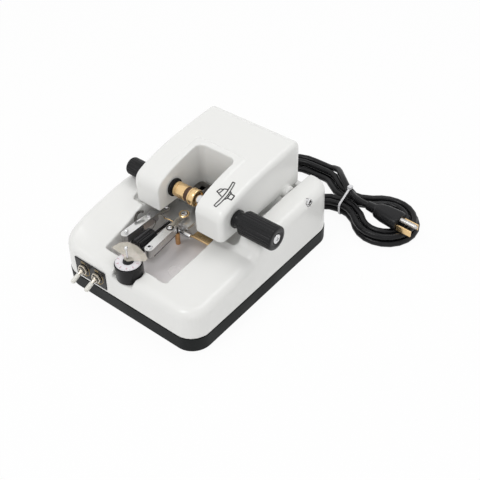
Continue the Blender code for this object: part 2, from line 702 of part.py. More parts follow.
def make_lens_drive(head):
    """Left side of the lens axis: knob, spindle, gear train, hub, adapter and pad."""
    at = (0, AXIS_Y, AXIS_Z)
    half = HEAD_W / 2
    knob_right = -half - 2 * MM
    knob_left = knob_right - KNOB_L_LEN
    hub_left = GAP_LEFT + GAP
    hub_right = hub_left + HUB_L
    spindle = solid("left_spindle", turned([(SPINDLE_R, knob_left + KNOB_L_LEN / 2), (SPINDLE_R, hub_right)],
                                           at, "X", 16), "steel", at, head)
    bore = SPINDLE_R + GAP
    knob = [(0, knob_left), (KNOB_L_R - OVER / 2, knob_left), (KNOB_L_R, knob_left + OVER / 2),
            (KNOB_L_R, knob_right - OVER / 2), (KNOB_L_R - OVER / 2, knob_right), (bore, knob_right),
            (bore, knob_left + KNOB_L_LEN / 2 - GAP), (0, knob_left + KNOB_L_LEN / 2 - GAP)]
    shares = [0, 0, 1, 1, 0, 0, 0, 0]
    solid("left_knob", turned(knob, at, "X", 32, flute=OVER / 3, shares=shares), "black_plastic", at, spindle)
    solid("left_hub", turned(tube_ring(HUB_R, bore, hub_left, hub_right - GAP), at, "X", 28, True),
          "black_plastic", at, spindle)
    left = hub_right + GAP
    right = left + ADAPTER_L
    adapter = [(0, left), (ADAPTER_R, left), (ADAPTER_R, left + ADAPTER_L / 4),
               (ADAPTER_R - GAP, left + ADAPTER_L / 4 + GAP), (ADAPTER_R, left + ADAPTER_L / 4 + 2 * GAP),
               (ADAPTER_R, right), (0, right)]
    solid("brass_adapter", turned(adapter, at, "X", 28), "brass", at, spindle)
    pad = right + GAP
    solid("lens_pad_left", turned([(PAD_R, pad), (PAD_R, pad + PAD_T)], at, "X", 24), "black_rubber", at, spindle)
    gear_x = GAP_LEFT - HEAD_WALL - GAP - GEAR_T
    solid("spindle_gear", gear(GEAR_TEETH, gear_x, gear_x + GEAR_T, bore, at), "brass", at, spindle, 20)
    reach = TOOTH * (GEAR_TEETH + PINION_TEETH) / 2
    motor_at = (0, AXIS_Y + reach, AXIS_Z)
    motor_left = -half + HEAD_WALL + GAP
    motor_right = gear_x - MOTOR_TO_GEAR
    motor_bore = motor_right - (motor_right - motor_left) / 3
    hole = MOTOR_SHAFT_R + GAP
    motor = [(0, motor_left), (LENS_MOTOR_R, motor_left), (LENS_MOTOR_R, motor_right), (hole, motor_right),
             (hole, motor_bore), (0, motor_bore)]
    solid("lens_motor", turned(motor, motor_at, "X", 24), "steel", motor_at, head)
    pinion = solid("motor_pinion", gear(PINION_TEETH, gear_x, gear_x + GEAR_T, MOTOR_SHAFT_R / 2, motor_at, 0.5),
                   "steel", motor_at, head, 20)
    shaft = [(MOTOR_SHAFT_R, motor_bore + GAP), (MOTOR_SHAFT_R, gear_x + GEAR_T + GAP)]
    combine(pinion, shape("pinion_shaft", turned(shaft, motor_at, "X", 12)), "UNION")
    return pad + PAD_T


def make_clamp(head, pad_face):
    """Right side of the lens axis: collar on the head, sliding clamp with its pad, tip, shaft and knob."""
    at = (0, AXIS_Y, AXIS_Z)
    half = HEAD_W / 2
    bore = CLAMP_R + GAP
    collar_left = half + GAP
    collar = [(COLLAR_R, collar_left), (COLLAR_R, collar_left + COLLAR_L),
              (COLLAR_STEP_R, collar_left + COLLAR_L), (COLLAR_STEP_R, collar_left + COLLAR_L + COLLAR_STEP_L),
              (bore, collar_left + COLLAR_L + COLLAR_STEP_L), (bore, collar_left)]
    ring = solid("clamp_collar", turned(collar, at, "X", 28, True), "black_plastic", at, head)
    grip_left = collar_left + COLLAR_L + COLLAR_STEP_L + GAP
    grip_right = grip_left + GRIP_L
    tip_left = pad_face + GAP + PAD_T + GAP
    tip_right = tip_left + TIP_L
    shaft = [(CLAMP_R, tip_right + GAP), (CLAMP_R, grip_left + GRIP_L / 2)]
    spindle = solid("clamp_spindle", turned(shaft, at, "X", 20), "chrome", at, ring)
    solid("lens_pad_right", turned([(PAD_R, pad_face + GAP), (PAD_R, pad_face + GAP + PAD_T)], at, "X", 24),
          "black_rubber", at, spindle)
    tip = [(ADAPTER_R, tip_left), (TIP_R, tip_left + GAP), (TIP_R, tip_right - GAP), (ADAPTER_R, tip_right)]
    solid("clamp_tip", turned(tip, at, "X", 28), "brass", at, spindle)
    hole = KNOB_SCREW_R + GAP
    sunk = grip_right - OVER
    grip = [(COLLAR_STEP_R, grip_left), (GRIP_R - OVER / 2, grip_left), (GRIP_R, grip_left + OVER / 2),
            (GRIP_R, grip_right - OVER / 2), (GRIP_R - OVER / 2, grip_right), (hole, grip_right), (hole, sunk),
            (0, sunk), (0, grip_left + GRIP_L / 2 + GAP), (bore, grip_left + GRIP_L / 2 + GAP), (bore, grip_left)]
    shares = [0, 0, 1, 1, 0, 0, 0, 0, 0, 0, 0]
    solid("right_knob", turned(grip, at, "X", 48, True, OVER / 3, shares), "black_plastic", at, spindle)
    screw = [(KNOB_SCREW_R, sunk + GAP), (KNOB_SCREW_R, grip_right), (KNOB_SCREW_R / 2, grip_right + OVER / 4)]
    solid("knob_screw", turned(screw, at, "X", 20), "chrome", at, spindle)


def make_wheel():
    """Grinding motor on the shelf, its axle, the grooving wheel and the wheel's cover."""
    at = (0, WHEEL_Y, WHEEL_Z)
    hole = AXLE_R + GAP
    body = [(0, MOTOR_RIGHT), (COVER_R, MOTOR_RIGHT), (COVER_R, MOTOR_LEFT), (hole, MOTOR_LEFT),
            (hole, MOTOR_RIGHT - COVER_R / 2), (0, MOTOR_RIGHT - COVER_R / 2)]
    motor = solid("grinding_motor", turned(body, at, "X", 32), "black_plastic")
    foot = box(MOTOR_LEFT + OVER, MOTOR_RIGHT - OVER, WHEEL_Y - MOTOR_FOOT_D / 2, WHEEL_Y + MOTOR_FOOT_D / 2,
               SHELF_TOP + GAP, WHEEL_Z - COVER_R + OVER)
    combine(motor, shape("motor_foot", foot), "UNION")
    axle = [(AXLE_R, COVER_LEFT + COVER_WALL + OVER), (AXLE_R, MOTOR_RIGHT - COVER_R / 2 - GAP)]
    spindle = solid("wheel_spindle", turned(axle, at, "X", 16), "steel", at)
    wheel = [(WHEEL_R - WHEEL_T, WHEEL_X - WHEEL_T), (WHEEL_R, WHEEL_X), (WHEEL_R - WHEEL_T, WHEEL_X + WHEEL_T),
             (hole, WHEEL_X + WHEEL_T), (hole, WHEEL_X - WHEEL_T)]
    solid("groove_wheel", turned(wheel, at, "X", 32, True), "steel", at, spindle)
    inner = COVER_R - COVER_WALL
    cup = [(0, COVER_LEFT), (COVER_R, COVER_LEFT), (COVER_R, MOTOR_LEFT - GAP), (inner, MOTOR_LEFT - GAP),
           (inner, COVER_LEFT + COVER_WALL), (0, COVER_LEFT + COVER_WALL)]
    cover = solid("wheel_guard", turned(cup, at, "X", 32), "black_plastic")
    stand = box(COVER_LEFT + OVER, MOTOR_LEFT - OVER, WHEEL_Y - MOTOR_FOOT_D / 2, WHEEL_Y + MOTOR_FOOT_D / 2,
                SHELF_TOP + GAP, WHEEL_Z - COVER_R + COVER_WALL / 2)
    combine(cover, shape("cover_foot", stand), "UNION")
    window = box(WHEEL_X - 2 * WHEEL_T, WHEEL_X + 2 * WHEEL_T, WHEEL_Y - COVER_R, WHEEL_Y, WHEEL_Z + OVER,
                 WHEEL_Z + COVER_R)
    combine(cover, shape("cover_window", window))


def channel_arm(name, front, rear, tongue_end, pivot):
    """A chrome guide arm: a channel open below, a tongue at its rear and a screw head on top."""
    spot = (pivot[0], pivot[1], ARM_TOP)
    arm = solid(name, slab(stadium(front, rear, ARM_W / 2), ARM_LOW, ARM_TOP), "chrome", spot)
    inside = slab(stadium(front, rear, ARM_W / 2 - ARM_SKIN), ARM_LOW - OVER, ARM_TOP - ARM_SKIN)
    tongue = slab(stadium(rear, tongue_end, TONGUE_W / 2), ARM_TOP - 2 * ARM_SKIN, ARM_TOP - ARM_SKIN / 4)
    combine(arm, shape(name + "_inside", inside))
    combine(arm, shape(name + "_tongue", tongue), "UNION")
    bore = turned([(PIVOT_R + GAP, ARM_LOW), (PIVOT_R + GAP, ARM_TOP + OVER)], (*pivot, 0), steps=14)
    combine(arm, shape(name + "_bore", bore))
    return arm


def screw(name, at, low, seat, finish, carrier=None):
    """A cheese-head screw with its head on the seat height and its shank down to low."""
    profile = [(PIVOT_R, low), (PIVOT_R, seat), (SCREW_R, seat), (SCREW_R, seat + SCREW_T * 0.6),
               (SCREW_R * 0.7, seat + SCREW_T)]
    solid(name, turned(profile, (*at, 0), steps=18), finish, (*at, seat), carrier)


def make_arms(floor):
    """Guide arms on their frame, with the post, cross pin, spring, adjusting knob and brass plate."""
    frame_low = SHELF_TOP + GAP
    frame_top = frame_low + FRAME_T
    frame = solid("guide_frame", box(FRAME_LEFT, FRAME_RIGHT, FRAME_FRONT, FRAME_BACK, frame_low, frame_top),
                  "steel")
    lug_low = CROSS_PIN_Z - CROSS_PIN_R - OVER
    for name, x, hole, radius, axis in (("pin_lug", DIAL_X + OVER / 2, CROSS_PIN_Z, CROSS_PIN_R, "X"),
                                        ("knob_lug", GRIP_KNOB_X, GRIP_KNOB_Z, PIVOT_R, "Y")):
        width = LUG_T if axis == "X" else 2 * LUG_T
        front = FRAME_FRONT
        back = FRAME_FRONT + (2 * LUG_T if axis == "X" else LUG_T)
        lug = box(x - width / 2, x + width / 2, front, back, lug_low - GAP, frame_low + FRAME_T / 2)
        combine(frame, shape(name, lug), "UNION")
        at = (x, 0, hole) if axis == "Y" else (0, FRAME_FRONT + LUG_T, hole)
        bore = [(radius + GAP, FRAME_FRONT - OVER), (radius + GAP, FRAME_FRONT + LUG_T + OVER)]
        if axis == "X":
            bore = [(radius + GAP, x - width), (radius + GAP, x + width)]
        combine(frame, shape(name + "_bore", turned(bore, at, axis, 16)))
    for name, pivot in (("left", LEFT_PIVOT), ("right", RIGHT_PIVOT)):
        hole = turned([(PIVOT_R + GAP, frame_low - OVER), (PIVOT_R + GAP, frame_top + OVER)], (*pivot, 0), steps=14)
        combine(frame, shape("pivot_hole_" + name, hole))
    left_front = (LEFT_ARM_X, LEFT_TIP_Y + ARM_W / 2)
    left = channel_arm("left_guide_arm", left_front, (LEFT_ARM_X, LEFT_REAR_Y), LEFT_PIVOT, LEFT_PIVOT)
    way = Vector(RIGHT_PIVOT) - Vector(RIGHT_TIP)
    share = (RIGHT_REAR_Y - RIGHT_TIP[1]) / way.y
    rear = tuple(Vector(RIGHT_TIP) + way * share)
    channel_arm("right_guide_arm", RIGHT_TIP, rear, RIGHT_PIVOT, RIGHT_PIVOT)
    seat = ARM_TOP + GAP
    screw("left_pivot_screw", LEFT_PIVOT, frame_low + GAP, seat, "steel")
    screw("right_pivot_screw", RIGHT_PIVOT, frame_low + GAP, seat, "brass")
    solid("guide_post", turned([(POST_R, floor + GAP), (POST_R, frame_low - GAP)], (POST_X, POST_Y, 0), steps=16),
          "copper")
    pin_left = DIAL_X + OVER / 2 - LUG_T
    pin = [(CROSS_PIN_R, pin_left), (CROSS_PIN_R, CROSS_PIN_RIGHT - CROSS_PIN_R / 2),
           (CROSS_PIN_R / 2, CROSS_PIN_RIGHT)]
    solid("cross_pin", turned(pin, (0, FRAME_FRONT + LUG_T, CROSS_PIN_Z), "X", 18), "chrome")
    make_adjuster()
    make_spring(left)
    make_brass_plate(floor)


def make_adjuster():
    """Black ribbed knob on its screw between the arms."""
    at = (GRIP_KNOB_X, 0, GRIP_KNOB_Z)
    front, back = GRIP_KNOB_FRONT, GRIP_KNOB_FRONT + GRIP_KNOB_L
    r = GRIP_KNOB_R
    tip = FRAME_FRONT + LUG_T
    profile = [(0, front), (r - OVER / 3, front), (r, front + OVER / 3), (r, back - OVER / 3), (r - OVER / 3, back),
               (PIVOT_R, back), (PIVOT_R, tip), (0, tip)]
    shares = [0, 0, 1, 1, 0, 0, 0, 0]
    solid("position_knob", turned(profile, at, "Y", 32, flute=OVER / 3, shares=shares), "black_plastic",
          (GRIP_KNOB_X, front, GRIP_KNOB_Z))


def make_spring(arm):
    """Small coiled spring in an arc from the left arm towards the land."""
    start = Vector((LEFT_ARM_X + ARM_W / 8, LEFT_REAR_Y - ARM_W * 1.4, ARM_TOP + GAP + SPRING_R + SPRING_WIRE))
    points = []
    steps = SPRING_TURNS * 8
    for i in range(steps + 1):
        share = i / steps
        bend = math.radians(100) * share
        reach = ARM_W * 0.6
        centre = start + Vector((-reach * math.sin(bend), -reach * (1 - math.cos(bend)), SPRING_R * share))
        out = Vector((math.sin(bend), -math.cos(bend), 0))
        a = 2 * math.pi * SPRING_TURNS * share
        points.append(centre + SPRING_R * (out * math.cos(a) + Vector((0, 0, 1)) * math.sin(a)))
    wire("arm_spring", points, SPRING_WIRE, "steel", 1, arm)


def make_brass_plate(floor):
    """Bent brass plate in the well's right rear corner."""
    low = floor + GAP
    foot = box(PLATE_RIGHT - PLATE_T, PLATE_RIGHT, PLATE_FRONT, PLATE_BACK, low, PLATE_TOP)
    top = box(PLATE_LEFT, PLATE_RIGHT - PLATE_T / 2, PLATE_FRONT, PLATE_BACK, PLATE_TOP - PLATE_T, PLATE_TOP)
    plate = solid("brass_bracket", foot, "brass")
    combine(plate, shape("plate_top", top), "UNION")


def wire(name, points, radius, finish, resolution, carrier=None):
    """A round tube along points, as a curve with filled caps."""
    curve = bpy.data.curves.new(name, "CURVE")
    curve.dimensions = "3D"
    curve.bevel_depth = radius
    curve.bevel_resolution = resolution
    curve.use_fill_caps = True
    line = curve.splines.new("POLY")
    line.points.add(len(points) - 1)
    for spot, point in zip(line.points, points):
        spot.co = (*point, 1)
    curve.materials.append(material(finish))
    ob = bpy.data.objects.new(name, curve)
    bpy.context.scene.collection.objects.link(ob)
    ob.parent = carrier or machine
    ob.location = -place_of(ob.parent)
    return ob


def make_dial():
    """Depth dial with its scale, sleeve, centre pin and clear index plate."""
    at = (DIAL_X, DIAL_Y, 0)
    pivot = (DIAL_X, DIAL_Y, DIAL_TOP)
    hole = PIN_R + GAP
    low = NOTCH_FLOOR + GAP
    body = [(DIAL_R - OVER / 3, low), (DIAL_R, low + OVER / 3), (DIAL_R, DIAL_TOP - OVER / 3),
            (DIAL_R - OVER / 3, DIAL_TOP), (DIAL_HUB_R, DIAL_TOP), (DIAL_HUB_R, DIAL_HUB_TOP),
            (hole, DIAL_HUB_TOP), (hole, low)]
    shares = [0, 1, 1, 0, 0, 0, 0, 0]
    dial = solid("depth_dial", turned(body, at, "Z", 56, True, OVER / 4, shares), "black_plastic", pivot)
    scale_low = DIAL_TOP + GAP
    scale = tube_ring(DIAL_R - OVER / 2, DIAL_HUB_R + GAP, scale_low, scale_low + SCALE_T)
    solid("dial_scale", turned(scale, at, "Z", 40, True), "dial_white", pivot, dial)
    sleeve = tube_ring(SLEEVE_R, hole, SLEEVE_LOW, low - GAP)
    solid("depth_screw", turned(sleeve, at, "Z", 18, True), "steel", pivot, dial)
    ball = BALL_TOP - BALL_R
    neck = math.degrees(math.asin(PIN_R / BALL_R)) - 90
    pin = [(0, SLEEVE_LOW - OVER), (PIN_R, SLEEVE_LOW - OVER)] + ball_profile(BALL_R, ball, neck)
    solid("pointer_pin", turned(pin, at, "Z", 14), "chrome")
    fan = [(INDEX_R, a) for a in range(0, 181, 12)] + [(DIAL_HUB_R, 200), (DIAL_HUB_R, 270), (DIAL_HUB_R, 340)]
    outline = [(DIAL_X + r * math.cos(math.radians(a - 20)), DIAL_Y + r * math.sin(math.radians(a - 20)))
               for r, a in fan]
    low = DIAL_HUB_TOP + GAP
    plate = solid("pointer_plate", slab(outline, low, low + INDEX_T), "clear_plate")
    bore = turned([(hole, low - OVER), (hole, low + OVER)], at, "Z", 14)
    combine(plate, shape("plate_bore", bore))


def make_switches(case):
    """Switch plate let into the front wall, with two toggle switches, their nuts and levers."""
    face = -BASE_D / 2
    half = SWITCH_PLATE_W / 2
    back = face + CASE_DRAFT + GAP
    sink = box(SWITCH_PLATE_X - half - GAP, SWITCH_PLATE_X + half + GAP, face - OVER, back,
               SWITCH_PLATE_LOW - GAP, SWITCH_PLATE_TOP + GAP)
    combine(case, shape("plate_sink", sink))
    front = back - GAP - SWITCH_PLATE_T
    plate = solid("switch_plate", box(SWITCH_PLATE_X - half, SWITCH_PLATE_X + half, front, back - GAP,
                                      SWITCH_PLATE_LOW, SWITCH_PLATE_TOP), "black_plastic")
    inner = face + CASE_DRAFT + CASE_WALL
    mouth = front - BUSH_L
    for side, name in ((-1, "left"), (1, "right")):
        x = SWITCH_PLATE_X + side * SWITCH_PITCH / 2
        at = (x, 0, SWITCH_Z)
        hole = shape("switch_hole_" + name, turned([(BUSH_R + GAP, face - OVER), (BUSH_R + GAP, inner + OVER)],
                                                  at, "Y", 18))
        combine(case, hole)
        combine(plate, hole)
        h = SWITCH_BODY / 2
        body = solid("switch_body_" + name, box(x - h, x + h, inner + GAP, inner + GAP + SWITCH_BODY,
                                                SWITCH_Z - h, SWITCH_Z + h), "black_plastic")
        bush = turned([(BUSH_R, mouth), (BUSH_R, inner + OVER)], at, "Y", 18)
        combine(body, shape("bush_" + name, bush), "UNION")
        bore = turned([(BUSH_BORE, mouth - OVER), (BUSH_BORE, inner)], at, "Y", 18)
        combine(body, shape("bush_bore_" + name, bore))
        nut_back = front - GAP
        flats = math.cos(math.pi / 6)
        nut = tube_ring(NUT_R, (BUSH_R + GAP / 2) / flats, nut_back - NUT_T, nut_back)
        solid("switch_nut_" + name, turned(nut, at, "Y", 6, True), "chrome", smooth=20)
        make_lever(name, x, mouth + LEVER_BALL_R / 2, body)


def make_lever(name, x, y, body):
    """Ivory toggle lever on its ball in the bushing, resting in its low place."""
    reach = LEVER_L
    lever = ball_profile(LEVER_BALL_R, 0, -90, 57, 5)
    lever += [(LEVER_NECK_R, LEVER_BALL_R + OVER / 4)]
    lever += ball_profile(LEVER_TIP_R, reach - LEVER_TIP_R, 0, 90, 4)
    bm = turned(lever, (0, 0, 0), "Z", 14)
    out = Matrix.Rotation(QUARTER + LEVER_DROP, 4, "X")
    bmesh.ops.transform(bm, matrix=Matrix.Translation((x, y, SWITCH_Z)) @ out, verts=bm.verts)
    solid("switch_lever_" + name, bm, "lever_ivory", (x, y, SWITCH_Z), body)


def make_inside(floor):
    """Transformer and circuit board in the tray."""
    w, d, h = TRANSFORMER
    x, y = TRANSFORMER_AT
    core = box(x - w / 2, x + w / 2, y - d / 2, y + d / 2, floor + GAP, floor + GAP + h)
    solid("transformer", core, "steel")
    w, d, h = BOARD
    x, y = BOARD_AT
    low = floor + BOSS_H + GAP
    solid("circuit_board", box(x - w / 2, x + w / 2, y - d / 2, y + d / 2, low, low + h), "green_board")


def ring_runs():
    """The hank's outermost loop, clockwise from the top of its left lobe: arcs and straight runs."""
    pinch = HANK_WAIST + HANK_BEND
    reach = math.sqrt((HANK_LOBE + HANK_BEND) ** 2 - pinch ** 2)
    lean = math.atan2(pinch, reach)
    far = -reach - HANK_RUN
    return [
        ("arc", (-reach, 0), HANK_LOBE, QUARTER, lean - QUARTER),
        ("arc", (0, pinch), HANK_BEND, lean - math.pi, math.pi - 2 * lean),
        ("arc", (reach, 0), HANK_LOBE, math.pi - lean, 2 * lean - 2 * math.pi),
        ("arc", (0, -pinch), HANK_BEND, lean, math.pi - 2 * lean),
        ("arc", (-reach, 0), HANK_LOBE, -lean, lean - QUARTER),
        ("run", (-reach, -HANK_LOBE), HANK_RUN, math.pi, 0),
        ("arc", (far, 0), HANK_LOBE, -QUARTER, -math.pi),
        ("run", (far, HANK_LOBE), HANK_RUN, 0, 0),
    ]


def run_length(run):
    return abs(run[2] * run[4]) if run[0] == "arc" else run[2]


def on_ring(share, draw):
    """A place on the outermost loop at a share of its length, drawn inwards by a distance."""
    runs = ring_runs()
    left = share % 1 * sum(run_length(run) for run in runs)
    for kind, (x, y), size, start, sweep in runs:
        length = run_length((kind, (x, y), size, start, sweep))
        if left > length:
            left -= length
            continue
        if kind == "run":
            along = left * math.cos(start)
            return Vector((x + along, y - draw * math.cos(start), 0))
        a = start + sweep * left / length
        radius = size - draw if sweep < 0 else size + draw
        return Vector((x + radius * math.cos(a), y + radius * math.sin(a), 0))
    return on_ring(0, draw)


def smooth_share(share):
    share = max(0, min(1, share))
    return share * share * (3 - 2 * share)


def hank_loops():
    """Centre line of the loops: two wound inwards on the floor, then two outwards on top of them."""
    points = []
    middle = HANK_LOOPS / 2
    for i in range(HANK_LOOPS * HANK_STEPS + 1):
        t = i / HANK_STEPS
        flat = on_ring(t, min(t, HANK_LOOPS - t) * HANK_PITCH)
        climb = smooth_share((t - middle + 0.25) * 2)
        lift = TIE_LIFT * smooth_share(1.6 - abs(flat.x) / HANK_BEND)
        z = CORD_R + GAP / 2 + lift + climb * HANK_PITCH
        points.append(Vector((HANK_AT[0] + flat.x, HANK_AT[1] + flat.y, z)))
    return points


def smooth_route(stops, step):
    """Points a step apart along a smooth curve through hand-chosen stops."""
    stops = [Vector(p) for p in stops]
    padded = [2 * stops[0] - stops[1]] + stops + [2 * stops[-1] - stops[-2]]
    points = [stops[0]]
    for a, b, c, d in zip(padded, padded[1:], padded[2:], padded[3:]):
        count = max(1, round((c - b).length / step))
        for i in range(1, count + 1):
            t = i / count
            points.append(0.5 * (2 * b + (c - a) * t + (2 * a - 5 * b + 4 * c - d) * t * t
                                 + (3 * b - a - 3 * c + d) * t ** 3))
    return points


def make_cord():
    """Strain relief, lead, hank with its tail to the plug, tie, plug body and three pins."""
    wall = BASE_D / 2 - CASE_DRAFT
    low = CASE_WALL + GAP
    relief = [(RELIEF_R, wall - low - OVER), (RELIEF_R, wall - low), (CORD_R + OVER / 2, wall - low),
              (CORD_R + OVER / 2, wall + CASE_DRAFT + GAP), (RELIEF_R + OVER, wall + CASE_DRAFT + GAP),
              (RELIEF_R + OVER, wall + CASE_DRAFT + GAP + OVER), (RELIEF_R, wall + CASE_DRAFT + GAP + OVER),
              (CORD_R + OVER / 3, wall + RELIEF_L)]
    at = (CORD_X, 0, CORD_Z)
    solid("strain_relief", turned(relief, at, "Y", 20), "black_rubber")
    hole = [(CORD_R + OVER / 2 + GAP, wall - 2 * low), (CORD_R + OVER / 2 + GAP, wall + OVER)]
    combine(housing, shape("cord_hole", turned(hole, at, "Y", 20)))

    loops = hank_loops()
    out = wall + RELIEF_L + GAP
    first = loops[0] - Vector((2 * CORD_R, 0, 0))
    lead_stops = [(CORD_X, out, CORD_Z), (CORD_X, out + 2 * CORD_R, CORD_Z)]
    lead_stops += [Vector(stop) * MM for stop in LEAD_STOPS]
    lead_stops += [(first.x - 4 * CORD_R, first.y, first.z), (first.x - GAP, first.y, first.z)]
    lead = smooth_route(lead_stops, 5 * CORD_R)
    wire("cord_lead", lead, CORD_R, "black_rubber", 2)

    turn = Matrix.Rotation(PLUG_TURN, 3, "Z")
    root = Vector(PLUG_AT)
    tail_stops = [loops[-1]] + [Vector(stop) * MM for stop in TAIL_STOPS]
    tail_stops += [root - turn @ Vector((2 * CORD_R + GAP, 0, 0)), root - turn @ Vector((GAP, 0, 0))]
    tail = smooth_route(tail_stops, 4 * CORD_R)
    hank = [first] + loops + tail[1:]
    wire("cord_hank", hank, CORD_R, "black_rubber", 1)
    print("hank least gap mm", round(least_gap(hank) / MM, 2))
    print("lead to hank least gap mm", round(gap_between(lead, hank) / MM, 2))
    length = sum((b - a).length for a, b in list(zip(lead, lead[1:])) + list(zip(hank, hank[1:])))
    print("cord length m", round(length, 3))
    make_tie()
    make_plug(turn.to_4x4(), root)


def gap_between(one, other):
    """The clear distance between two stretches of the cord, away from where they meet."""
    near = [p for p in one if (p - other[0]).length > 3 * CORD_R]
    return min((p - q).length for p in near for q in fine_line(other)[0]) - 2 * CORD_R


def make_tie():
    """White tie round the hank's waist, with its square lock on the side."""
    half = HANK_WAIST + CORD_R + GAP
    high = 3 * HANK_PITCH + TIE_LIFT + GAP
    low = GAP / 2
    rings = []
    for side, grow in ((-1, 1), (1, 1), (1, 0), (-1, 0)):
        out = TIE_T * grow
        middle = (HANK_AT[1] + HANK_PITCH / 8, (low + TIE_T + high) / 2)
        outline = rounded(half + out, (high - low - TIE_T) / 2 + out, CORD_R + out, 4, middle)
        rings.append([(HANK_AT[0] + side * TIE_L / 2, y, z) for y, z in outline])
    bm = bmesh.new()
    layers = [[bm.verts.new(p) for p in ring] for ring in rings]
    for near, far in zip(layers, layers[1:] + layers[:1]):
        for i in range(len(near)):
            j = (i + 1) % len(near)
            bm.faces.new((near[i], near[j], far[j], far[i]))
    solid("cable_tie", bm, "tie_white")


def make_plug(turn, root):
    """Plug body from its ribbed neck to its flat face, two flat pins and a round earth pin."""
    place = Matrix.Translation(root) @ turn
    rings = []
    for along, wide, high in PLUG_SHARES:
        outline = rounded(wide * PLUG_W / 2, high * PLUG_H / 2, high * PLUG_H / 2 * 0.9, 4)
        rings.append([(along * PLUG_L, y, z) for y, z in outline])
    body = loft(rings)
    bmesh.ops.transform(body, matrix=place, verts=body.verts)
    solid("plug_body", body, "black_plastic")
    face = PLUG_L + GAP
    for name, y in (("left", PIN_PITCH / 2), ("right", -PIN_PITCH / 2)):
        blade = box(face, face + PIN_L, y - PIN_T / 2, y + PIN_T / 2, -PIN_W / 2 - EARTH_DROP, PIN_W / 2 - EARTH_DROP)
        bmesh.ops.transform(blade, matrix=place, verts=blade.verts)
        solid("plug_pin_" + name, blade, "steel")
    earth = turned([(EARTH_R, face), (EARTH_R, face + PIN_L), (EARTH_R / 2, face + PIN_L + EARTH_R)],
                   (0, 0, EARTH_DROP), "X", 14)
    bmesh.ops.transform(earth, matrix=place, verts=earth.verts)
    solid("plug_pin_earth", earth, "steel")


def fine_line(points):
    """The points of a line with three more on each stretch, and each one's place along it."""
    fine, places, run = [], [], 0
    for a, b in zip(points, points[1:]):
        for k in range(4):
            fine.append(a.lerp(b, k / 4))
            places.append(run + (b - a).length * k / 4)
        run += (b - a).length
    return fine, places


def least_gap(points):
    """The smallest clear distance between stretches of the cord three diameters or more apart along it."""
    fine, places = fine_line(points)
    least = min((fine[i] - fine[j]).length for i in range(len(fine)) for j in range(i)
                if places[i] - places[j] > 6 * CORD_R)
    return least - 2 * CORD_R


def centre_on_base():
    """Move the machine so that its own box, without the cord, stands centred on the origin."""
    bpy.context.view_layer.update()
    graph = bpy.context.evaluated_depsgraph_get()
    lows, highs = [], []
    for ob in bpy.context.scene.objects:
        if ob.type != "MESH" or ob.hide_render or ob.name in CORD_NODES:
            continue
        seen = ob.evaluated_get(graph)
        corners = [seen.matrix_world @ Vector(c) for c in seen.bound_box]
        lows.append([min(c[k] for c in corners) for k in range(3)])
        highs.append([max(c[k] for c in corners) for k in range(3)])
    for k in range(2):
        machine.location[k] = -(min(v[k] for v in lows) + max(v[k] for v in highs)) / 2
    machine.location.z = -min(v[2] for v in lows)


CORD_NODES = ["strain_relief", "cord_lead", "cord_hank", "cable_tie", "plug_body", "plug_pin_left",
              "plug_pin_right", "plug_pin_earth"]

tray, tray_floor = make_tray()
housing = make_housing()
well_floor_top = make_liner()
head_cover = make_head()
hinge_line(housing, head_cover)
lens_bores(head_cover)
pad_face = make_lens_drive(head_cover)
make_clamp(head_cover, pad_face)
make_wheel()
make_arms(well_floor_top)
make_dial()
make_switches(housing)
make_inside(tray_floor)
make_cord()
centre_on_base()
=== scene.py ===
# %% [markdown]
# # Bench lens groover
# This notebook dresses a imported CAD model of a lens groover: a white two-part case on a black tray, with a
# tilting head that holds and turns an eyeglass lens over a small grinding wheel. The CAD parts stay as a
# fixed frame. Each step models one visible piece or finish over it, and hands the piece to the moving body
# that carries it.

# %% Load the frame
import json
from math import atan2, copysign, cos, pi, radians, sin, sqrt, tau

import bmesh
import bpy
from mathutils import Matrix, Vector

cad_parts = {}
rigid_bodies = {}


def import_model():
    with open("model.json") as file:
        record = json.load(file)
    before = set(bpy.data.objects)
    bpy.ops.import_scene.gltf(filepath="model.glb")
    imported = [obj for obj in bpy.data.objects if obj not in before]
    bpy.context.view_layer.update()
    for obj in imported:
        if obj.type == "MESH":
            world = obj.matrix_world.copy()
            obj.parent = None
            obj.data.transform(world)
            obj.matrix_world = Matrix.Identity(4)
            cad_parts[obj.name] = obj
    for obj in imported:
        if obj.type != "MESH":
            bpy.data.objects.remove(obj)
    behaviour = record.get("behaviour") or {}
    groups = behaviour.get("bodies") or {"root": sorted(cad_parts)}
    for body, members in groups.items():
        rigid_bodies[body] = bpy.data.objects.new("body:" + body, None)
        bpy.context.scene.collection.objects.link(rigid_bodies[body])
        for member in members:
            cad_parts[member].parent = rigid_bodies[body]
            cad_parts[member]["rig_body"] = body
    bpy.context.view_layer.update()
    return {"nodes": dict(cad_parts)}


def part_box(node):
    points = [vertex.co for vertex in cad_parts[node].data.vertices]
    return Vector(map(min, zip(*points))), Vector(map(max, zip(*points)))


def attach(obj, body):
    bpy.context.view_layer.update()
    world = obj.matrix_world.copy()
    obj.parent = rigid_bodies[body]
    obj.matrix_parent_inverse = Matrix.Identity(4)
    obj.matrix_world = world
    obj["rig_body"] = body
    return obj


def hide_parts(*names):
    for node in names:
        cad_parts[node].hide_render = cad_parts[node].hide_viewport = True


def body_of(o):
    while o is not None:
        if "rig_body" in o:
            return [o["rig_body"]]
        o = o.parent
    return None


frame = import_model()

# %% [markdown]
# ## Where things are
# The machine's own drawing counts from the middle of its tray. The tray's box gives that middle in the
# world, so a place on the drawing in millimetres becomes a place in the scene with one small function.

# %% Places
MM = 0.001
QUARTER = pi / 2
tray_low, tray_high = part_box("base_tray")
middle = Vector(((tray_low[0] + tray_high[0]) / 2, (tray_low[1] + tray_high[1]) / 2, 0))


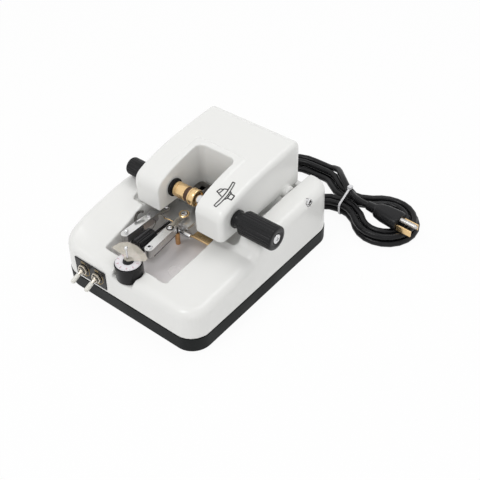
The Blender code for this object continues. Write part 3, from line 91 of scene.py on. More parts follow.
def spot(x, y, z):
    """A place in the world from millimetres on the machine's drawing."""
    return middle + Vector((x, y, z)) * MM


def node_box(name):
    """The low and the high corner of a CAD node, in millimetres on the drawing."""
    return [[(c - m) / MM for c, m in zip(corner, middle)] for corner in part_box(name)]


def node_heart(name):
    """The middle of a CAD node's box, in millimetres on the drawing."""
    return [(low + high) / 2 for low, high in zip(*node_box(name))]


def put_in(name, data):
    """A new object for some data, linked to the scene."""
    made = bpy.data.objects.new(name, data)
    bpy.context.scene.collection.objects.link(made)
    return made


print("middle of the tray:", [round(v, 5) for v in middle])

# %% [markdown]
# ## The camera
# The photograph looks down at the machine from its front right at about forty degrees. A fairly long lens
# keeps the case's long edges nearly parallel, and a small shift places it left of the frame's middle.

# %% Camera
view = bpy.data.cameras.new("studio_camera")
view.sensor_width, view.lens, view.clip_start = 36, 61.38, 0.01
view.shift_x, view.shift_y = -0.064, -0.0167
camera = put_in("studio_camera", view)
camera.location = spot(398.0, -411.8, 531.7)
camera.rotation_euler = (radians(48.56), 0, radians(37.5))
bpy.context.scene.camera = camera
print("camera at", [round(v, 3) for v in camera.location])

# %% [markdown]
# ## The cord's line
# The mains cord leaves the back wall through a strain relief, drops to the table and runs into a hank: four
# dog-bone loops, wound inwards on the table and outwards again on top, with a tie round the waist. The
# line comes from the same formula as the CAD solid, with twice as many points, so that the tube bends
# smoothly where it lies on the same places.

# %% Cord measures
CORD_R, CLEAR, TIE_LIFT = 3.25, 0.3, 1.5
HANK_AT, HANK_PITCH, HANK_LOOPS, HANK_STEPS = (70.5, 142), 7.5, 4, 48
HANK_LOBE, HANK_BEND, HANK_WAIST, HANK_RUN = 34, 26, 15, 22
RELIEF_END = (-45, 121.3, 28)
LEAD_STOPS = [(-45, 140, 25.5), (-40, 156, 16), (-26, 169, 6.5), (-8, 175.5, 3.5)]
TAIL_STOPS = [(38, 173, 15.5), (52, 160, 19.6), (70.5, 145, 19.8), (83, 138.5, 20.6)]
PLUG_AT, PLUG_TURN = Vector((97, 136.5, 20.8)), radians(-3)

# %% Outermost loop of the hank
# Clockwise from the top of its left lobe: arcs as (middle, radius, start, sweep) and straight runs.
pinch = HANK_WAIST + HANK_BEND
reach = sqrt((HANK_LOBE + HANK_BEND) ** 2 - pinch ** 2)
lean = atan2(pinch, reach)
far = -reach - HANK_RUN
RUNS = [("arc", (-reach, 0), HANK_LOBE, QUARTER, lean - QUARTER),
        ("arc", (0, pinch), HANK_BEND, lean - pi, pi - 2 * lean),
        ("arc", (reach, 0), HANK_LOBE, pi - lean, 2 * lean - 2 * pi),
        ("arc", (0, -pinch), HANK_BEND, lean, pi - 2 * lean),
        ("arc", (-reach, 0), HANK_LOBE, -lean, lean - QUARTER),
        ("run", (-reach, -HANK_LOBE), HANK_RUN, pi, 0),
        ("arc", (far, 0), HANK_LOBE, -QUARTER, -pi),
        ("run", (far, HANK_LOBE), HANK_RUN, 0, 0)]
LENGTHS = [abs(run[2] * run[4]) if run[0] == "arc" else run[2] for run in RUNS]


def on_ring(share, draw):
    """A place on the outermost loop at a share of its length, drawn inwards by a distance."""
    left = share % 1 * sum(LENGTHS)
    for (kind, (x, y), size, start, sweep), length in zip(RUNS, LENGTHS):
        if left > length:
            left -= length
            continue
        if kind == "run":
            return (x + left * cos(start), y - draw * cos(start))
        angle = start + sweep * left / length
        radius = size - draw if sweep < 0 else size + draw
        return (x + radius * cos(angle), y + radius * sin(angle))
    return on_ring(0, draw)


def soft_share(share):
    """A share eased in and out."""
    share = max(0, min(1, share))
    return share * share * (3 - 2 * share)


# %% The whole line
def smooth_line(stops, step):
    """Points a step apart on a smooth curve through given stops."""
    stops = [Vector(p) for p in stops]
    padded = [2 * stops[0] - stops[1]] + stops + [2 * stops[-1] - stops[-2]]
    points = [stops[0]]
    for a, b, c, d in zip(padded, padded[1:], padded[2:], padded[3:]):
        count = max(1, round((c - b).length / step))
        for i in range(1, count + 1):
            t = i / count
            points.append(0.5 * (2 * b + (c - a) * t + (2 * a - 5 * b + 4 * c - d) * t * t
                                 + (3 * b - a - 3 * c + d) * t ** 3))
    return points


loops = []
for i in range(HANK_LOOPS * HANK_STEPS + 1):
    turn = i / HANK_STEPS
    x, y = on_ring(turn, min(turn, HANK_LOOPS - turn) * HANK_PITCH)
    climb = soft_share((turn - HANK_LOOPS / 2 + 0.25) * 2)
    lift = TIE_LIFT * soft_share(1.6 - abs(x) / HANK_BEND)
    loops.append(Vector((HANK_AT[0] + x, HANK_AT[1] + y, CORD_R + CLEAR / 2 + lift + climb * HANK_PITCH)))
first = loops[0] - Vector((2 * CORD_R, 0, 0))
lead_stops = [RELIEF_END, (RELIEF_END[0], RELIEF_END[1] + 2 * CORD_R, RELIEF_END[2])] + LEAD_STOPS
lead_stops += [(first.x - 4 * CORD_R, first.y, first.z), first]
plug_turn = Matrix.Rotation(PLUG_TURN, 3, "Z")
tail_stops = [loops[-1]] + TAIL_STOPS + [PLUG_AT - plug_turn @ Vector((back, 0, 0))
                                         for back in (2 * CORD_R + CLEAR, CLEAR)]
cord_line = smooth_line(lead_stops, 2 * CORD_R) + loops + smooth_line(tail_stops, 2 * CORD_R)[1:]

# %% [markdown]
# ## The studio
# The real picture is on plain white paper under soft light. A wide pale floor takes the shadow, and floor
# and world show white to the camera and to polished metal, but light the scene less, so that white plastic
# keeps its shading.

# %% Shader nodes
def add_node(tree, kind, **values):
    """A new shader node. Lower-case values set its properties, the others its inputs by name."""
    made = tree.nodes.new("ShaderNode" + kind)
    for label, value in values.items():
        if label.islower():
            setattr(made, label, value)
        else:
            made.inputs[label.replace("_", " ")].default_value = value
    return made


def wire_up(tree, *wires):
    """Join an output to an input for each (node, output, node, input)."""
    for start, out, end, into in wires:
        tree.links.new(start.outputs[out], end.inputs[into])


def white_where_seen(tree, low, high, target, into):
    """Feed an input with a value that is high for the camera and for polished metal, else low."""
    path = add_node(tree, "LightPath")
    seen = add_node(tree, "Math", operation="MAXIMUM")
    level = add_node(tree, "MapRange", To_Min=low, To_Max=high)
    wire_up(tree, (path, "Is Camera Ray", seen, 0), (path, "Is Glossy Ray", seen, 1), (seen, 0, level, "Value"),
            (level, "Result", target, into))


# %% Floor and world
bpy.ops.mesh.primitive_plane_add(size=8, location=(0, 0, 0))
floor = bpy.context.object
floor.name = "studio_floor"
paper = bpy.data.materials.new("studio_paper")
paper.use_nodes = True
tree = paper.node_tree
skin = tree.nodes["Principled BSDF"]
skin.inputs["Base Color"].default_value = (0.95, 0.95, 0.95, 1)
skin.inputs["Roughness"].default_value = 0.9
glow, blend = add_node(tree, "Emission"), add_node(tree, "MixShader")
white_where_seen(tree, 0.0, 0.94, blend, 0)
wire_up(tree, (skin, 0, blend, 1), (glow, 0, blend, 2), (blend, 0, tree.nodes["Material Output"], 0))
floor.data.materials.append(paper)

world = bpy.data.worlds.new("studio_world")
bpy.context.scene.world = world
world.use_nodes = True
backdrop = world.node_tree.nodes["Background"]
backdrop.inputs["Color"].default_value = (1, 1, 1, 1)
white_where_seen(world.node_tree, 0.60, 1.0, backdrop, "Strength")

# %% Lamps
# Large square lamps: name, place, the place they look at, size and power.
for name, place, aim, size, power in (("key_lamp", (-150, -550, 1000), (0, 0, 40), 0.4, 3.0),
                                      ("top_lamp", (150, 350, 900), (0, 30, 60), 0.45, 1.5),
                                      ("front_lamp", (800, -700, 500), (0, 0, 40), 0.35, 0.5)):
    light = bpy.data.lights.new(name, "AREA")
    light.size, light.energy = size, power
    lamp = put_in(name, light)
    lamp.location = spot(*place)
    lamp.rotation_euler = (spot(*aim) - lamp.location).to_track_quat("-Z", "Y").to_euler()
    print(name, "power:", power)
bpy.context.scene.view_settings.view_transform = "Standard"

# %% [markdown]
# ## Shared effects
# Moulded plastic, ground steel and turned brass all vary a little over their surface. Three small node
# groups give a fine grain, a slow drift of tone and turning lines. Each finish places them with its own
# scale, and keeps its shader to itself.

# %% Effect groups
def effect_group(name, inputs, outputs):
    """An empty node group with named inputs and outputs, and its two end nodes."""
    group = bpy.data.node_groups.new(name, "ShaderNodeTree")
    for side, sockets in (("INPUT", inputs), ("OUTPUT", outputs)):
        for label, kind in sockets.items():
            group.interface.new_socket(label, in_out=side, socket_type="NodeSocket" + kind)
    return group, group.nodes.new("NodeGroupInput"), group.nodes.new("NodeGroupOutput")


# %% Grain: fine noise mixed with coarse noise, for a moulded or cast skin
GRAIN, start, end = effect_group("surface_grain", {"Vector": "Vector", "Scale": "Float"}, {"Height": "Float"})
fine, slow, mix = add_node(GRAIN, "TexNoise"), add_node(GRAIN, "TexNoise"), add_node(GRAIN, "Mix", Factor=0.35)
slower = add_node(GRAIN, "Math", operation="MULTIPLY")
slower.inputs[1].default_value = 0.12
wire_up(GRAIN, (start, "Vector", fine, "Vector"), (start, "Vector", slow, "Vector"),
        (start, "Scale", fine, "Scale"), (start, "Scale", slower, 0), (slower, 0, slow, "Scale"),
        (fine, "Fac", mix, "A"), (slow, "Fac", mix, "B"), (mix, "Result", end, "Height"))

# %% Drift: a slow change between two tones of one colour, and a roughness that goes with it
DRIFT, start, end = effect_group(
    "tone_drift", {"Vector": "Vector", "Scale": "Float", "Light": "Color", "Dark": "Color", "Smooth": "Float",
                   "Rough": "Float"}, {"Color": "Color", "Roughness": "Float"})
noise, spread = add_node(DRIFT, "TexNoise", Detail=1), add_node(DRIFT, "MapRange", From_Min=0.35, From_Max=0.65)
tones, rough = add_node(DRIFT, "Mix", data_type="RGBA"), add_node(DRIFT, "Mix")
wire_up(DRIFT, (start, "Vector", noise, "Vector"), (start, "Scale", noise, "Scale"),
        (noise, "Fac", spread, "Value"), (spread, "Result", tones, "Factor"), (start, "Light", tones, 6),
        (start, "Dark", tones, 7), (spread, "Result", rough, "Factor"), (start, "Smooth", rough, "A"),
        (start, "Rough", rough, "B"), (tones, 2, end, "Color"), (rough, "Result", end, "Roughness"))

# %% Lines: thin parallel lines across one axis, broken up by noise, for grinding or turning marks
LINES, start, end = effect_group("tool_lines", {"Vector": "Vector", "Across": "Vector", "Scale": "Float"},
                                 {"Height": "Float"})
stretch, noise = add_node(LINES, "VectorMath", operation="MULTIPLY"), add_node(LINES, "TexNoise", Detail=3)
wire_up(LINES, (start, "Vector", stretch, 0), (start, "Across", stretch, 1), (stretch, 0, noise, "Vector"),
        (start, "Scale", noise, "Scale"), (noise, "Fac", end, "Height"))
print("effect groups:", [g.name for g in (GRAIN, DRIFT, LINES)])

# %% [markdown]
# ## Finishes
# Every finish is one Principled shader. The tone drift feeds its colour and roughness, and the grain or the
# tool lines feed a bump. Plastics differ in colour, coarseness and gloss, metals in tint and in the
# direction of their marks.

# %% A finish
def finish(name, light, dark, smooth, rough, metallic=0.0, grain=900.0, depth=0.0004, across=None,
           strength=0.12, drift=25.0, **sockets):
    """A material with drifting tone and a fine relief. Across turns the relief into tool lines."""
    made = bpy.data.materials.new(name)
    made.use_nodes = True
    tree = made.node_tree
    shader = tree.nodes["Principled BSDF"]
    for label, value in {"Metallic": metallic, **sockets}.items():
        shader.inputs[label.replace("_", " ")].default_value = value
    places = add_node(tree, "TexCoord")
    tone = add_node(tree, "Group", node_tree=DRIFT, Scale=drift, Light=(*light, 1), Dark=(*dark, 1),
                    Smooth=smooth, Rough=rough)
    relief = add_node(tree, "Group", node_tree=LINES if across else GRAIN, Scale=grain)
    if across:
        relief.inputs["Across"].default_value = across
    bump = add_node(tree, "Bump", Strength=strength, Distance=depth)
    wire_up(tree, (places, "Object", tone, "Vector"), (places, "Object", relief, "Vector"),
            (tone, "Color", shader, "Base Color"), (tone, "Roughness", shader, "Roughness"),
            (relief, "Height", bump, "Height"), (bump, "Normal", shader, "Normal"))
    return made


# %% Plastics and rubber
white_case = finish("white_case", (0.86, 0.86, 0.84), (0.852, 0.852, 0.832), 0.25, 0.27, strength=0.04, drift=8,
                    Coat_Weight=0.1, Coat_Roughness=0.12)
black_plastic = finish("black_plastic", (0.009, 0.009, 0.010), (0.006, 0.006, 0.007), 0.16, 0.24, grain=1500,
                       strength=0.05, Specular_IOR_Level=0.25)
tray_black = finish("tray_black", (0.012, 0.014, 0.014), (0.009, 0.010, 0.010), 0.45, 0.55, grain=1200,
                    strength=0.15, Specular_IOR_Level=0.12)
black_rubber = finish("black_rubber", (0.008, 0.008, 0.009), (0.005, 0.005, 0.006), 0.24, 0.34, grain=800,
                      Specular_IOR_Level=0.22)
pad_rubber = finish("pad_rubber", (0.13, 0.07, 0.04), (0.10, 0.052, 0.03), 0.3, 0.4)
grey_floor = finish("grey_floor", (0.93, 0.90, 0.905), (0.90, 0.87, 0.875), 0.32, 0.38, grain=500, strength=0.04)
dial_white = finish("dial_white", (0.84, 0.82, 0.85), (0.80, 0.78, 0.81), 0.3, 0.4)
lever_ivory = finish("lever_ivory", (0.80, 0.79, 0.74), (0.76, 0.74, 0.68), 0.25, 0.35)
tie_white = finish("tie_white", (0.82, 0.82, 0.83), (0.76, 0.76, 0.78), 0.3, 0.45)
green_board = finish("green_board", (0.03, 0.17, 0.07), (0.02, 0.13, 0.05), 0.35, 0.5, grain=400)
clear_plate = finish("clear_plate", (0.84, 0.79, 0.69), (0.81, 0.76, 0.65), 0.06, 0.10, strength=0.0, Alpha=0.34)

# %% Metals and inks
chrome = finish("chrome", (0.74, 0.74, 0.75), (0.66, 0.66, 0.67), 0.10, 0.20, 1.0, 40, 0.0002, (1, 6, 6), 0.08)
# The arms' chrome is only partly metallic, so that its colour keeps the arms bright in the head's shade: painted
# light.
arm_chrome = finish("arm_chrome", (0.74, 0.74, 0.73), (0.64, 0.64, 0.63), 0.14, 0.26, 0.7, 90, 0.0003,
                    (6, 0.6, 6), 0.2)
steel = finish("steel", (0.56, 0.55, 0.54), (0.46, 0.45, 0.44), 0.26, 0.38, 0.85, 60, 0.0003, (8, 1, 1), 0.15)
nickel = finish("nickel", (0.78, 0.72, 0.62), (0.68, 0.62, 0.52), 0.14, 0.24, 0.75, 60, 0.0002, (6, 1, 1), 0.1)
dark_steel = finish("dark_steel", (0.09, 0.085, 0.08), (0.06, 0.056, 0.053), 0.22, 0.34, 1.0, 60, 0.0003,
                    (8, 1, 1), 0.15)
brass = finish("brass", (0.84, 0.60, 0.32), (0.78, 0.55, 0.28), 0.18, 0.22, 0.88, strength=0.0)
copper = finish("copper", (0.72, 0.42, 0.20), (0.60, 0.32, 0.14), 0.25, 0.38, 1.0, 60, 0.0002, (1, 1, 8), 0.1)
gold_mark = finish("gold_mark", (0.50, 0.36, 0.13), (0.42, 0.29, 0.10), 0.35, 0.45, 0.4)
black_ink = finish("black_ink", (0.02, 0.02, 0.02), (0.015, 0.015, 0.015), 0.4, 0.5)
pink_ink = finish("pink_ink", (0.60, 0.20, 0.28), (0.52, 0.16, 0.24), 0.4, 0.5)

# %% CAD nodes that stay in view
# The pieces modelled below replace most CAD nodes. Those deep inside keep their CAD shape in a finish.
INNER_NODES = {steel: "left_spindle lens_motor motor_pinion wheel_spindle depth_screw transformer",
               brass: "spindle_gear", green_board: "circuit_board"}
for material, names in INNER_NODES.items():
    for name in names.split():
        for slot in frame["nodes"][name].material_slots:
            slot.material = material
        print(name, "dressed in", material.name)

# %% [markdown]
# ## Shaping tools
# Most small pieces of the machine are turned on a lathe or moulded round, so one helper turns a profile
# into a solid: a disc is extruded and scaled from station to station, as a lathe hand would cut it. Other
# helpers carve with Booleans, round sharp edges and fix a piece in its place.

# %% Begin, pick and settle
def begin():
    """Close any open mesh and leave nothing selected."""
    active = bpy.context.view_layer.objects.active
    if active and active.mode != "OBJECT":
        bpy.ops.object.mode_set(mode="OBJECT")
    bpy.ops.object.select_all(action="DESELECT")


def take(*pieces):
    """Select only these pieces, the first as the active one."""
    begin()
    for piece in pieces:
        piece.select_set(True)
    bpy.context.view_layer.objects.active = pieces[0]
    return pieces[0]


def open_up(piece):
    """Open a piece's mesh with all of it selected."""
    take(piece)
    bpy.ops.object.mode_set(mode="EDIT")
    bpy.ops.mesh.select_all(action="SELECT")


def named(name):
    """Name the object that was just made."""
    bpy.context.object.name = name
    return bpy.context.object


def pick(kind, test):
    """Select the open mesh's VERT, EDGE or FACE elements whose corners, in millimetres, pass a test."""
    bpy.ops.mesh.select_mode(type=kind)
    bpy.ops.mesh.select_all(action="DESELECT")
    mesh = bmesh.from_edit_mesh(bpy.context.object.data)
    for item in {"VERT": mesh.verts, "EDGE": mesh.edges, "FACE": mesh.faces}[kind]:
        corners = [item.co] if kind == "VERT" else [v.co for v in item.verts]
        if test([tuple(c / MM) for c in corners]):
            item.select_set(True)
    bmesh.update_edit_mesh(bpy.context.object.data)


def settle(piece, at=(0, 0, 0), turn=(0, 0, 0)):
    """Turn a piece about the drawing's middle, carry it to its place and fix both in its mesh."""
    take(piece)
    piece.rotation_euler = turn
    piece.location = spot(*at)
    bpy.ops.object.transform_apply(location=True, rotation=True, scale=True)
    return piece


def swing(piece, at, turn):
    """Swing a piece on the drawing's middle by an angle seen from above and carry it to its place."""
    piece.data.transform(Matrix.Translation(-middle))
    return settle(piece, at, (0, 0, turn))


def push(step):
    """Extrude the open mesh's selection by a step in millimetres."""
    bpy.ops.mesh.extrude_region_move(TRANSFORM_OT_translate={"value": tuple(c * MM for c in step)})


# %% Carve, soften and hand over
def modify(piece, kind, **settings):
    """Put one modifier on a piece, set it and apply it."""
    take(piece)
    made = piece.modifiers.new(kind.lower(), kind)
    for label, value in settings.items():
        setattr(made, label, value)
    bpy.ops.object.modifier_apply(modifier=made.name)
    return piece


def smooth(piece, angle=35):
    """Point the faces outwards and shade smooth over edges flatter than an angle, the flat faces first."""
    open_up(piece)
    bpy.ops.mesh.normals_make_consistent(inside=False)
    take(piece)
    bpy.ops.object.shade_smooth_by_angle(angle=radians(angle))
    return modify(piece, "WEIGHTED_NORMAL", keep_sharp=True)


def carve(target, tool, operation="DIFFERENCE"):
    """Apply one exact Boolean and put the tool away."""
    modify(target, "BOOLEAN", operation=operation, solver="EXACT", object=tool)
    bpy.data.objects.remove(tool, do_unlink=True)
    return target


def soften(piece, width, segments=3, angle=30):
    """Round the edges that are sharper than an angle."""
    return modify(piece, "BEVEL", width=width * MM, segments=segments, angle_limit=radians(angle))


def mould(piece, voxel, passes=4):
    """Cast a carved shell again in fine voxels drawn onto it, then smooth lightly, which rounds each edge."""
    take(piece)
    bpy.ops.object.duplicate()
    master = bpy.context.object
    modify(piece, "REMESH", mode="VOXEL", voxel_size=voxel * MM, use_smooth_shade=True)
    modify(piece, "SHRINKWRAP", wrap_method="NEAREST_SURFACEPOINT", target=master)
    bpy.data.objects.remove(master, do_unlink=True)
    modify(piece, "SMOOTH", factor=0.5, iterations=passes)
    bpy.ops.object.shade_smooth()
    return piece


def hand_over(piece, look, *nodes, slot=None, body=None):
    """Give a piece its finish, let it replace nodes and ride on their body.
    The slot is not used."""
    piece.data.materials.clear()
    piece.data.materials.append(look)
    for face in piece.data.polygons:
        face.material_index = 0
    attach(piece, body or body_of(frame["nodes"][nodes[0]])[0])
    if nodes:
        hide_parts(*nodes)
    # Blender adds a number to a finish whose name the frame already uses.
    print(piece.name, "faces:", len(piece.data.polygons))
    return piece


# %% Turn, block, refine and tube
AXIS_TURN = {"X": (0, QUARTER, 0), "Y": (-QUARTER, 0, 0), "Z": (0, 0, 0)}


def turn_up(name, profile, at=(0, 0, 0), axis="Z", sides=48, ribs=None):
    """Turn a profile of (radius, place) stations about X, Y, Z or a turned axis. A profile that ends where
    it starts makes a ring. Ribs are (from, to, scales)."""
    begin()
    (radius, place), closed = profile[0], profile[0] == profile[-1]
    bpy.ops.mesh.primitive_circle_add(vertices=sides, radius=radius * MM, location=(0, 0, 0),
                                      fill_type="NOTHING" if closed else "NGON")
    piece = named(name)
    bpy.ops.object.mode_set(mode="EDIT")
    bpy.ops.transform.translate(value=(0, 0, place * MM))
    for wider, further in profile[1:]:
        push((0, 0, further - place))
        share = wider / radius
        if share != 1:
            bpy.ops.transform.resize(value=(share, share, 1), center_override=(0, 0, 0))
        radius, place = wider, further
    if closed:
        bpy.ops.mesh.select_all(action="SELECT")
        bpy.ops.mesh.remove_doubles(threshold=0.01 * MM)
    low, high, pattern = ribs or (0, 0, [])
    for scale in sorted(set(pattern) - {1}):
        columns = {k for k, value in enumerate(pattern) if value == scale}
        pick("VERT", lambda c: low <= c[0][2] <= high and round(
            atan2(c[0][0], c[0][1]) / tau * sides) % len(pattern) in columns)
        bpy.ops.transform.resize(value=(scale, scale, 1), center_override=(0, 0, 0))
    return smooth(settle(piece, at, AXIS_TURN.get(axis, axis)))


def block(name, left, right, front, back, low, high):
    """A box between six planes of the drawing, as a start for a piece or a cutting tool."""
    begin()
    bpy.ops.mesh.primitive_cube_add(size=1, location=(0, 0, 0))
    piece = named(name)
    piece.scale = ((right - left) * MM, (back - front) * MM, (high - low) * MM)
    return settle(piece, ((left + right) / 2, (front + back) / 2, (low + high) / 2))


def round_posts(piece, radius, test=lambda x, y: True, segments=8):
    """Round the upright edges of a block whose place on the drawing passes a test."""
    open_up(piece)
    shift = middle / MM

    def upright(corners):
        (x0, y0, z0), (x1, y1, z1) = corners
        straight = abs(x0 - x1) < 0.01 and abs(y0 - y1) < 0.01 and abs(z0 - z1) > 0.1
        return straight and test(x0 - shift.x, y0 - shift.y)

    pick("EDGE", upright)
    bpy.ops.mesh.bevel(offset=radius * MM, segments=segments, affect="EDGES", clamp_overlap=False)
    return take(piece)


def refine(name, node, look, width, segments=2, angle=30, slot=None):
    """A CAD node's shape with its triangles joined into clean faces and its sharp edges rounded."""
    begin()
    piece = put_in(name, frame["nodes"][node].data.copy())
    open_up(piece)
    bpy.ops.mesh.remove_doubles(threshold=0.001 * MM)
    bpy.ops.mesh.dissolve_limited(angle_limit=radians(1))
    return hand_over(smooth(soften(piece, width, segments, angle), 40), look, node, slot=slot)


def tube(name, points, radius, rounds):
    """A round bar along points of the drawing, made a mesh."""
    curve = bpy.data.curves.new(name, "CURVE")
    curve.dimensions, curve.bevel_depth, curve.bevel_resolution = "3D", radius * MM, rounds
    curve.use_fill_caps = True
    line = curve.splines.new("POLY")
    line.use_smooth = True
    line.points.add(len(points) - 1)
    for place, point in zip(line.points, points):
        place.co = (*spot(*point), 1)
    take(put_in(name, curve))
    bpy.ops.object.convert(target="MESH")
    return bpy.context.object


def bent_wire(name, points, radius, look, *nodes, slot=None, body=None):
    """A smooth wire along points of the drawing, handed over."""
    return hand_over(smooth(tube(name, points, radius, 3), 60), look, *nodes, slot=slot, body=body)


def outline_block(name, places, step):
    """An outline drawn point by point, filled and pushed into a block, whose mesh stays open."""
    begin()
    bpy.ops.mesh.primitive_plane_add(size=MM, location=(0, 0, 0))
    piece = named(name)
    bpy.ops.object.mode_set(mode="EDIT")
    bpy.ops.mesh.select_mode(type="VERT")
    bpy.ops.mesh.select_all(action="SELECT")
    bpy.ops.mesh.merge(type="CENTER")
    bpy.ops.transform.translate(value=tuple(c * MM for c in places[0]))
    for place, further in zip(places, places[1:]):
        push([b - a for a, b in zip(place, further)])
    bpy.ops.mesh.select_all(action="SELECT")
    bpy.ops.mesh.edge_face_add()
    push(step)
    return piece


mains_cord = hand_over(tube("mains_cord", cord_line, CORD_R, 6), black_rubber, "cord_lead", "cord_hank",
                       body="base")

# %% [markdown]
# ## The tray
# The black tray is a plain moulding with upright corners rounded to nineteen millimetres. A block gets its
# corners and its lower edge by bevels, and an inset and a downward extrusion hollow it out. Four bosses
# stand under the circuit board.

# %% Tray
TRAY_HALF_W, TRAY_HALF_D, TRAY_LOW, TRAY_TOP, CORNER = 80, 100, 1.3, 16, 19
CORNERS = ((-1, -1), (1, -1), (1, 1), (-1, 1))
tray = block("moulded_tray", -TRAY_HALF_W, TRAY_HALF_W, -TRAY_HALF_D, TRAY_HALF_D, TRAY_LOW, TRAY_TOP)
open_up(round_posts(tray, CORNER, segments=14))
pick("EDGE", lambda corners: all(abs(c[2] - TRAY_LOW) < 0.01 for c in corners))
bpy.ops.mesh.bevel(offset=1.0 * MM, segments=3, affect="EDGES")
pick("FACE", lambda corners: all(abs(c[2] - TRAY_TOP) < 0.01 for c in corners))
bpy.ops.mesh.inset(thickness=2.5 * MM)
push((0, 0, TRAY_LOW + 2.5 - TRAY_TOP))
smooth(tray)
board_x, board_y = node_heart("circuit_board")[:2]
bosses = [turn_up("board_boss", [(3.4, TRAY_LOW + 2.2), (3.0, TRAY_LOW + 3.4), (3.0, TRAY_LOW + 6.9)],
                  (board_x + 27 * x, board_y + 19 * y, 0), sides=24) for x, y in CORNERS]
take(tray, *bosses)
bpy.ops.object.join()
hand_over(tray, tray_black, "base_tray", slot="black_plastic")

# %% Feet
for k, (x, y) in enumerate(CORNERS, 1):
    hand_over(turn_up("rubber_foot_%d" % k, [(7.4, 0), (8.0, 0.3), (8.0, 1.0)], (x * 59, y * 79, 0), sides=40),
              black_rubber, "foot_%d" % k)

# %% [markdown]
# ## The housing
# The white housing is one soft moulding: a low front deck, a left land that climbs to the ear, and a recess
# for the head. A grid is bent to the land's and the deck's heights, its rim rolls over into the walls, and
# Booleans open the wells. The shell is then cast again in fine voxels, which rounds every edge a little, as
# in an injection mould.

# %% Heights of the housing
CASE_LOW, CASE_ROLL, CASE_WALL, DRAFT = 16.3, 8.5, 2.5, 1.0
FRONT_TOP, EAR_TOP, LAND_IN, WELL_RIGHT = 45, 69.5, -40, 32
LAND_OUTER = [(-0.96, 0), (-0.9, 0.184), (-0.8, 0.408), (-0.7, 0.571), (-0.5, 0.755), (-0.24, 0.898), (0, 0.959),
              (0.5, 1)]
LAND_INNER = [(-0.96, -0.041), (-0.9, -0.02), (-0.75, 0.082), (-0.6, 0.245), (-0.38, 0.551), (-0.26, 0.816),
              (0, 0.939), (0.5, 1)]
DECK = [(-0.96, 0), (-0.78, 0), (-0.4, 0.122), (-0.17, 0.224), (-0.16, 0.327), (-0.13, 0.367), (-0.09, 0.694),
        (0.22, 0.735), (0.6, 0.857)]
# The profiles hold shares of half the depth and of the rise, the lines hold millimetres.
OUTER_LINE, INNER_LINE, DECK_LINE = (
    [(a * TRAY_HALF_D, FRONT_TOP + b * (EAR_TOP - FRONT_TOP)) for a, b in profile]
    for profile in (LAND_OUTER, LAND_INNER, DECK))


def along(places, y):
    """The height at y on a line through (y, height) places."""
    if y <= places[0][0]:
        return places[0][1]
    for (y0, z0), (y1, z1) in zip(places, places[1:]):
        if y <= y1:
            return z0 + (z1 - z0) * (y - y0) / (y1 - y0)
    return places[-1][1]


def height_here(x, y):
    """The skin's height before smoothing: the land left of the well, the deck right of it."""
    inner = along(INNER_LINE, y)
    if x <= LAND_IN:
        return inner + (along(OUTER_LINE, y) - inner) * min(1, (LAND_IN - x) / (TRAY_HALF_W - 7 + LAND_IN))
    return inner + (along(DECK_LINE, y) - inner) * min(1, (x - LAND_IN) / (WELL_RIGHT - LAND_IN))


def skin_height(x, y):
    """The skin's height as a mean over a small square, which rounds the creases between the slopes."""
    spots = [(x + dx, y + dy) for dx in (-2, 0, 2) for dy in (-1.2, 0, 1.2)]
    return sum(height_here(*s) for s in spots) / len(spots)


# %% Housing block
def rim_way(x, y, inner_w, inner_d, corner):
    """The outward direction at the edge of a rounded rectangle."""
    way = Vector((max(0, abs(x) - inner_w + corner), max(0, abs(y) - inner_d + corner), 0))
    way.x, way.y = copysign(way.x, x), copysign(way.y, y)
    return way.normalized() if way.length else Vector((0, copysign(1, y), 0))


def housing_block(name, inset, low, columns=72, turns=10):
    """The housing's block of surfaces, drawn in by an inset: a bent grid whose rim rolls down."""
    inner_w, inner_d = TRAY_HALF_W - DRAFT - CASE_ROLL, TRAY_HALF_D - DRAFT - CASE_ROLL
    corner, roll = CORNER - CASE_ROLL, CASE_ROLL - inset
    begin()
    ends = [-inner_d + corner * (1 - sin(QUARTER * k / 8)) for k in range(8, -1, -1)]
    straight = [-(inner_d - corner) + 2 * (inner_d - corner) * k / 76 for k in range(1, 76)]
    rows = sorted(ends + straight + [-y for y in ends])
    bpy.ops.mesh.primitive_grid_add(x_subdivisions=columns, y_subdivisions=len(rows) - 1, size=2,
                                    location=(0, 0, 0))
    piece = named(name)
    for vertex in piece.data.vertices:
        y = rows[round((vertex.co.y + 1) / 2 * (len(rows) - 1))]
        into = max(0, abs(y) - inner_d + corner)
        x = vertex.co.x * (inner_w - corner + sqrt(max(0, corner ** 2 - into ** 2)))
        vertex.co = Vector((x, y, skin_height(x, y) - inset)) * MM
    bpy.ops.object.mode_set(mode="EDIT")
    bpy.ops.mesh.select_mode(type="EDGE")
    bpy.ops.mesh.select_all(action="DESELECT")
    bpy.ops.mesh.select_non_manifold()
    steps = [(roll * sin(QUARTER * k / turns), roll * cos(QUARTER * k / turns)) for k in range(turns + 1)]
    for (out, up), (further, lower) in zip(steps, steps[1:] + [(roll + DRAFT, None)]):
        bpy.ops.mesh.extrude_region_move()
        mesh = bmesh.from_edit_mesh(piece.data)
        for vertex in [v for v in mesh.verts if v.select]:
            way = rim_way(vertex.co.x / MM, vertex.co.y / MM, inner_w, inner_d, corner)
            vertex.co += way * (further - out) * MM
            vertex.co.z = low * MM if lower is None else vertex.co.z - (up - lower) * MM
        bmesh.update_edit_mesh(piece.data)
    bpy.ops.mesh.edge_face_add()
    return smooth(settle(piece))


# %% Open the wells
housing = housing_block("moulded_housing", 0, CASE_LOW)
hollow = housing_block("hollow", CASE_WALL, CASE_LOW - 2, 24, 4)
EAR_IN, EAR_OUT, SHELF = 56, 56 + CASE_WALL, 48


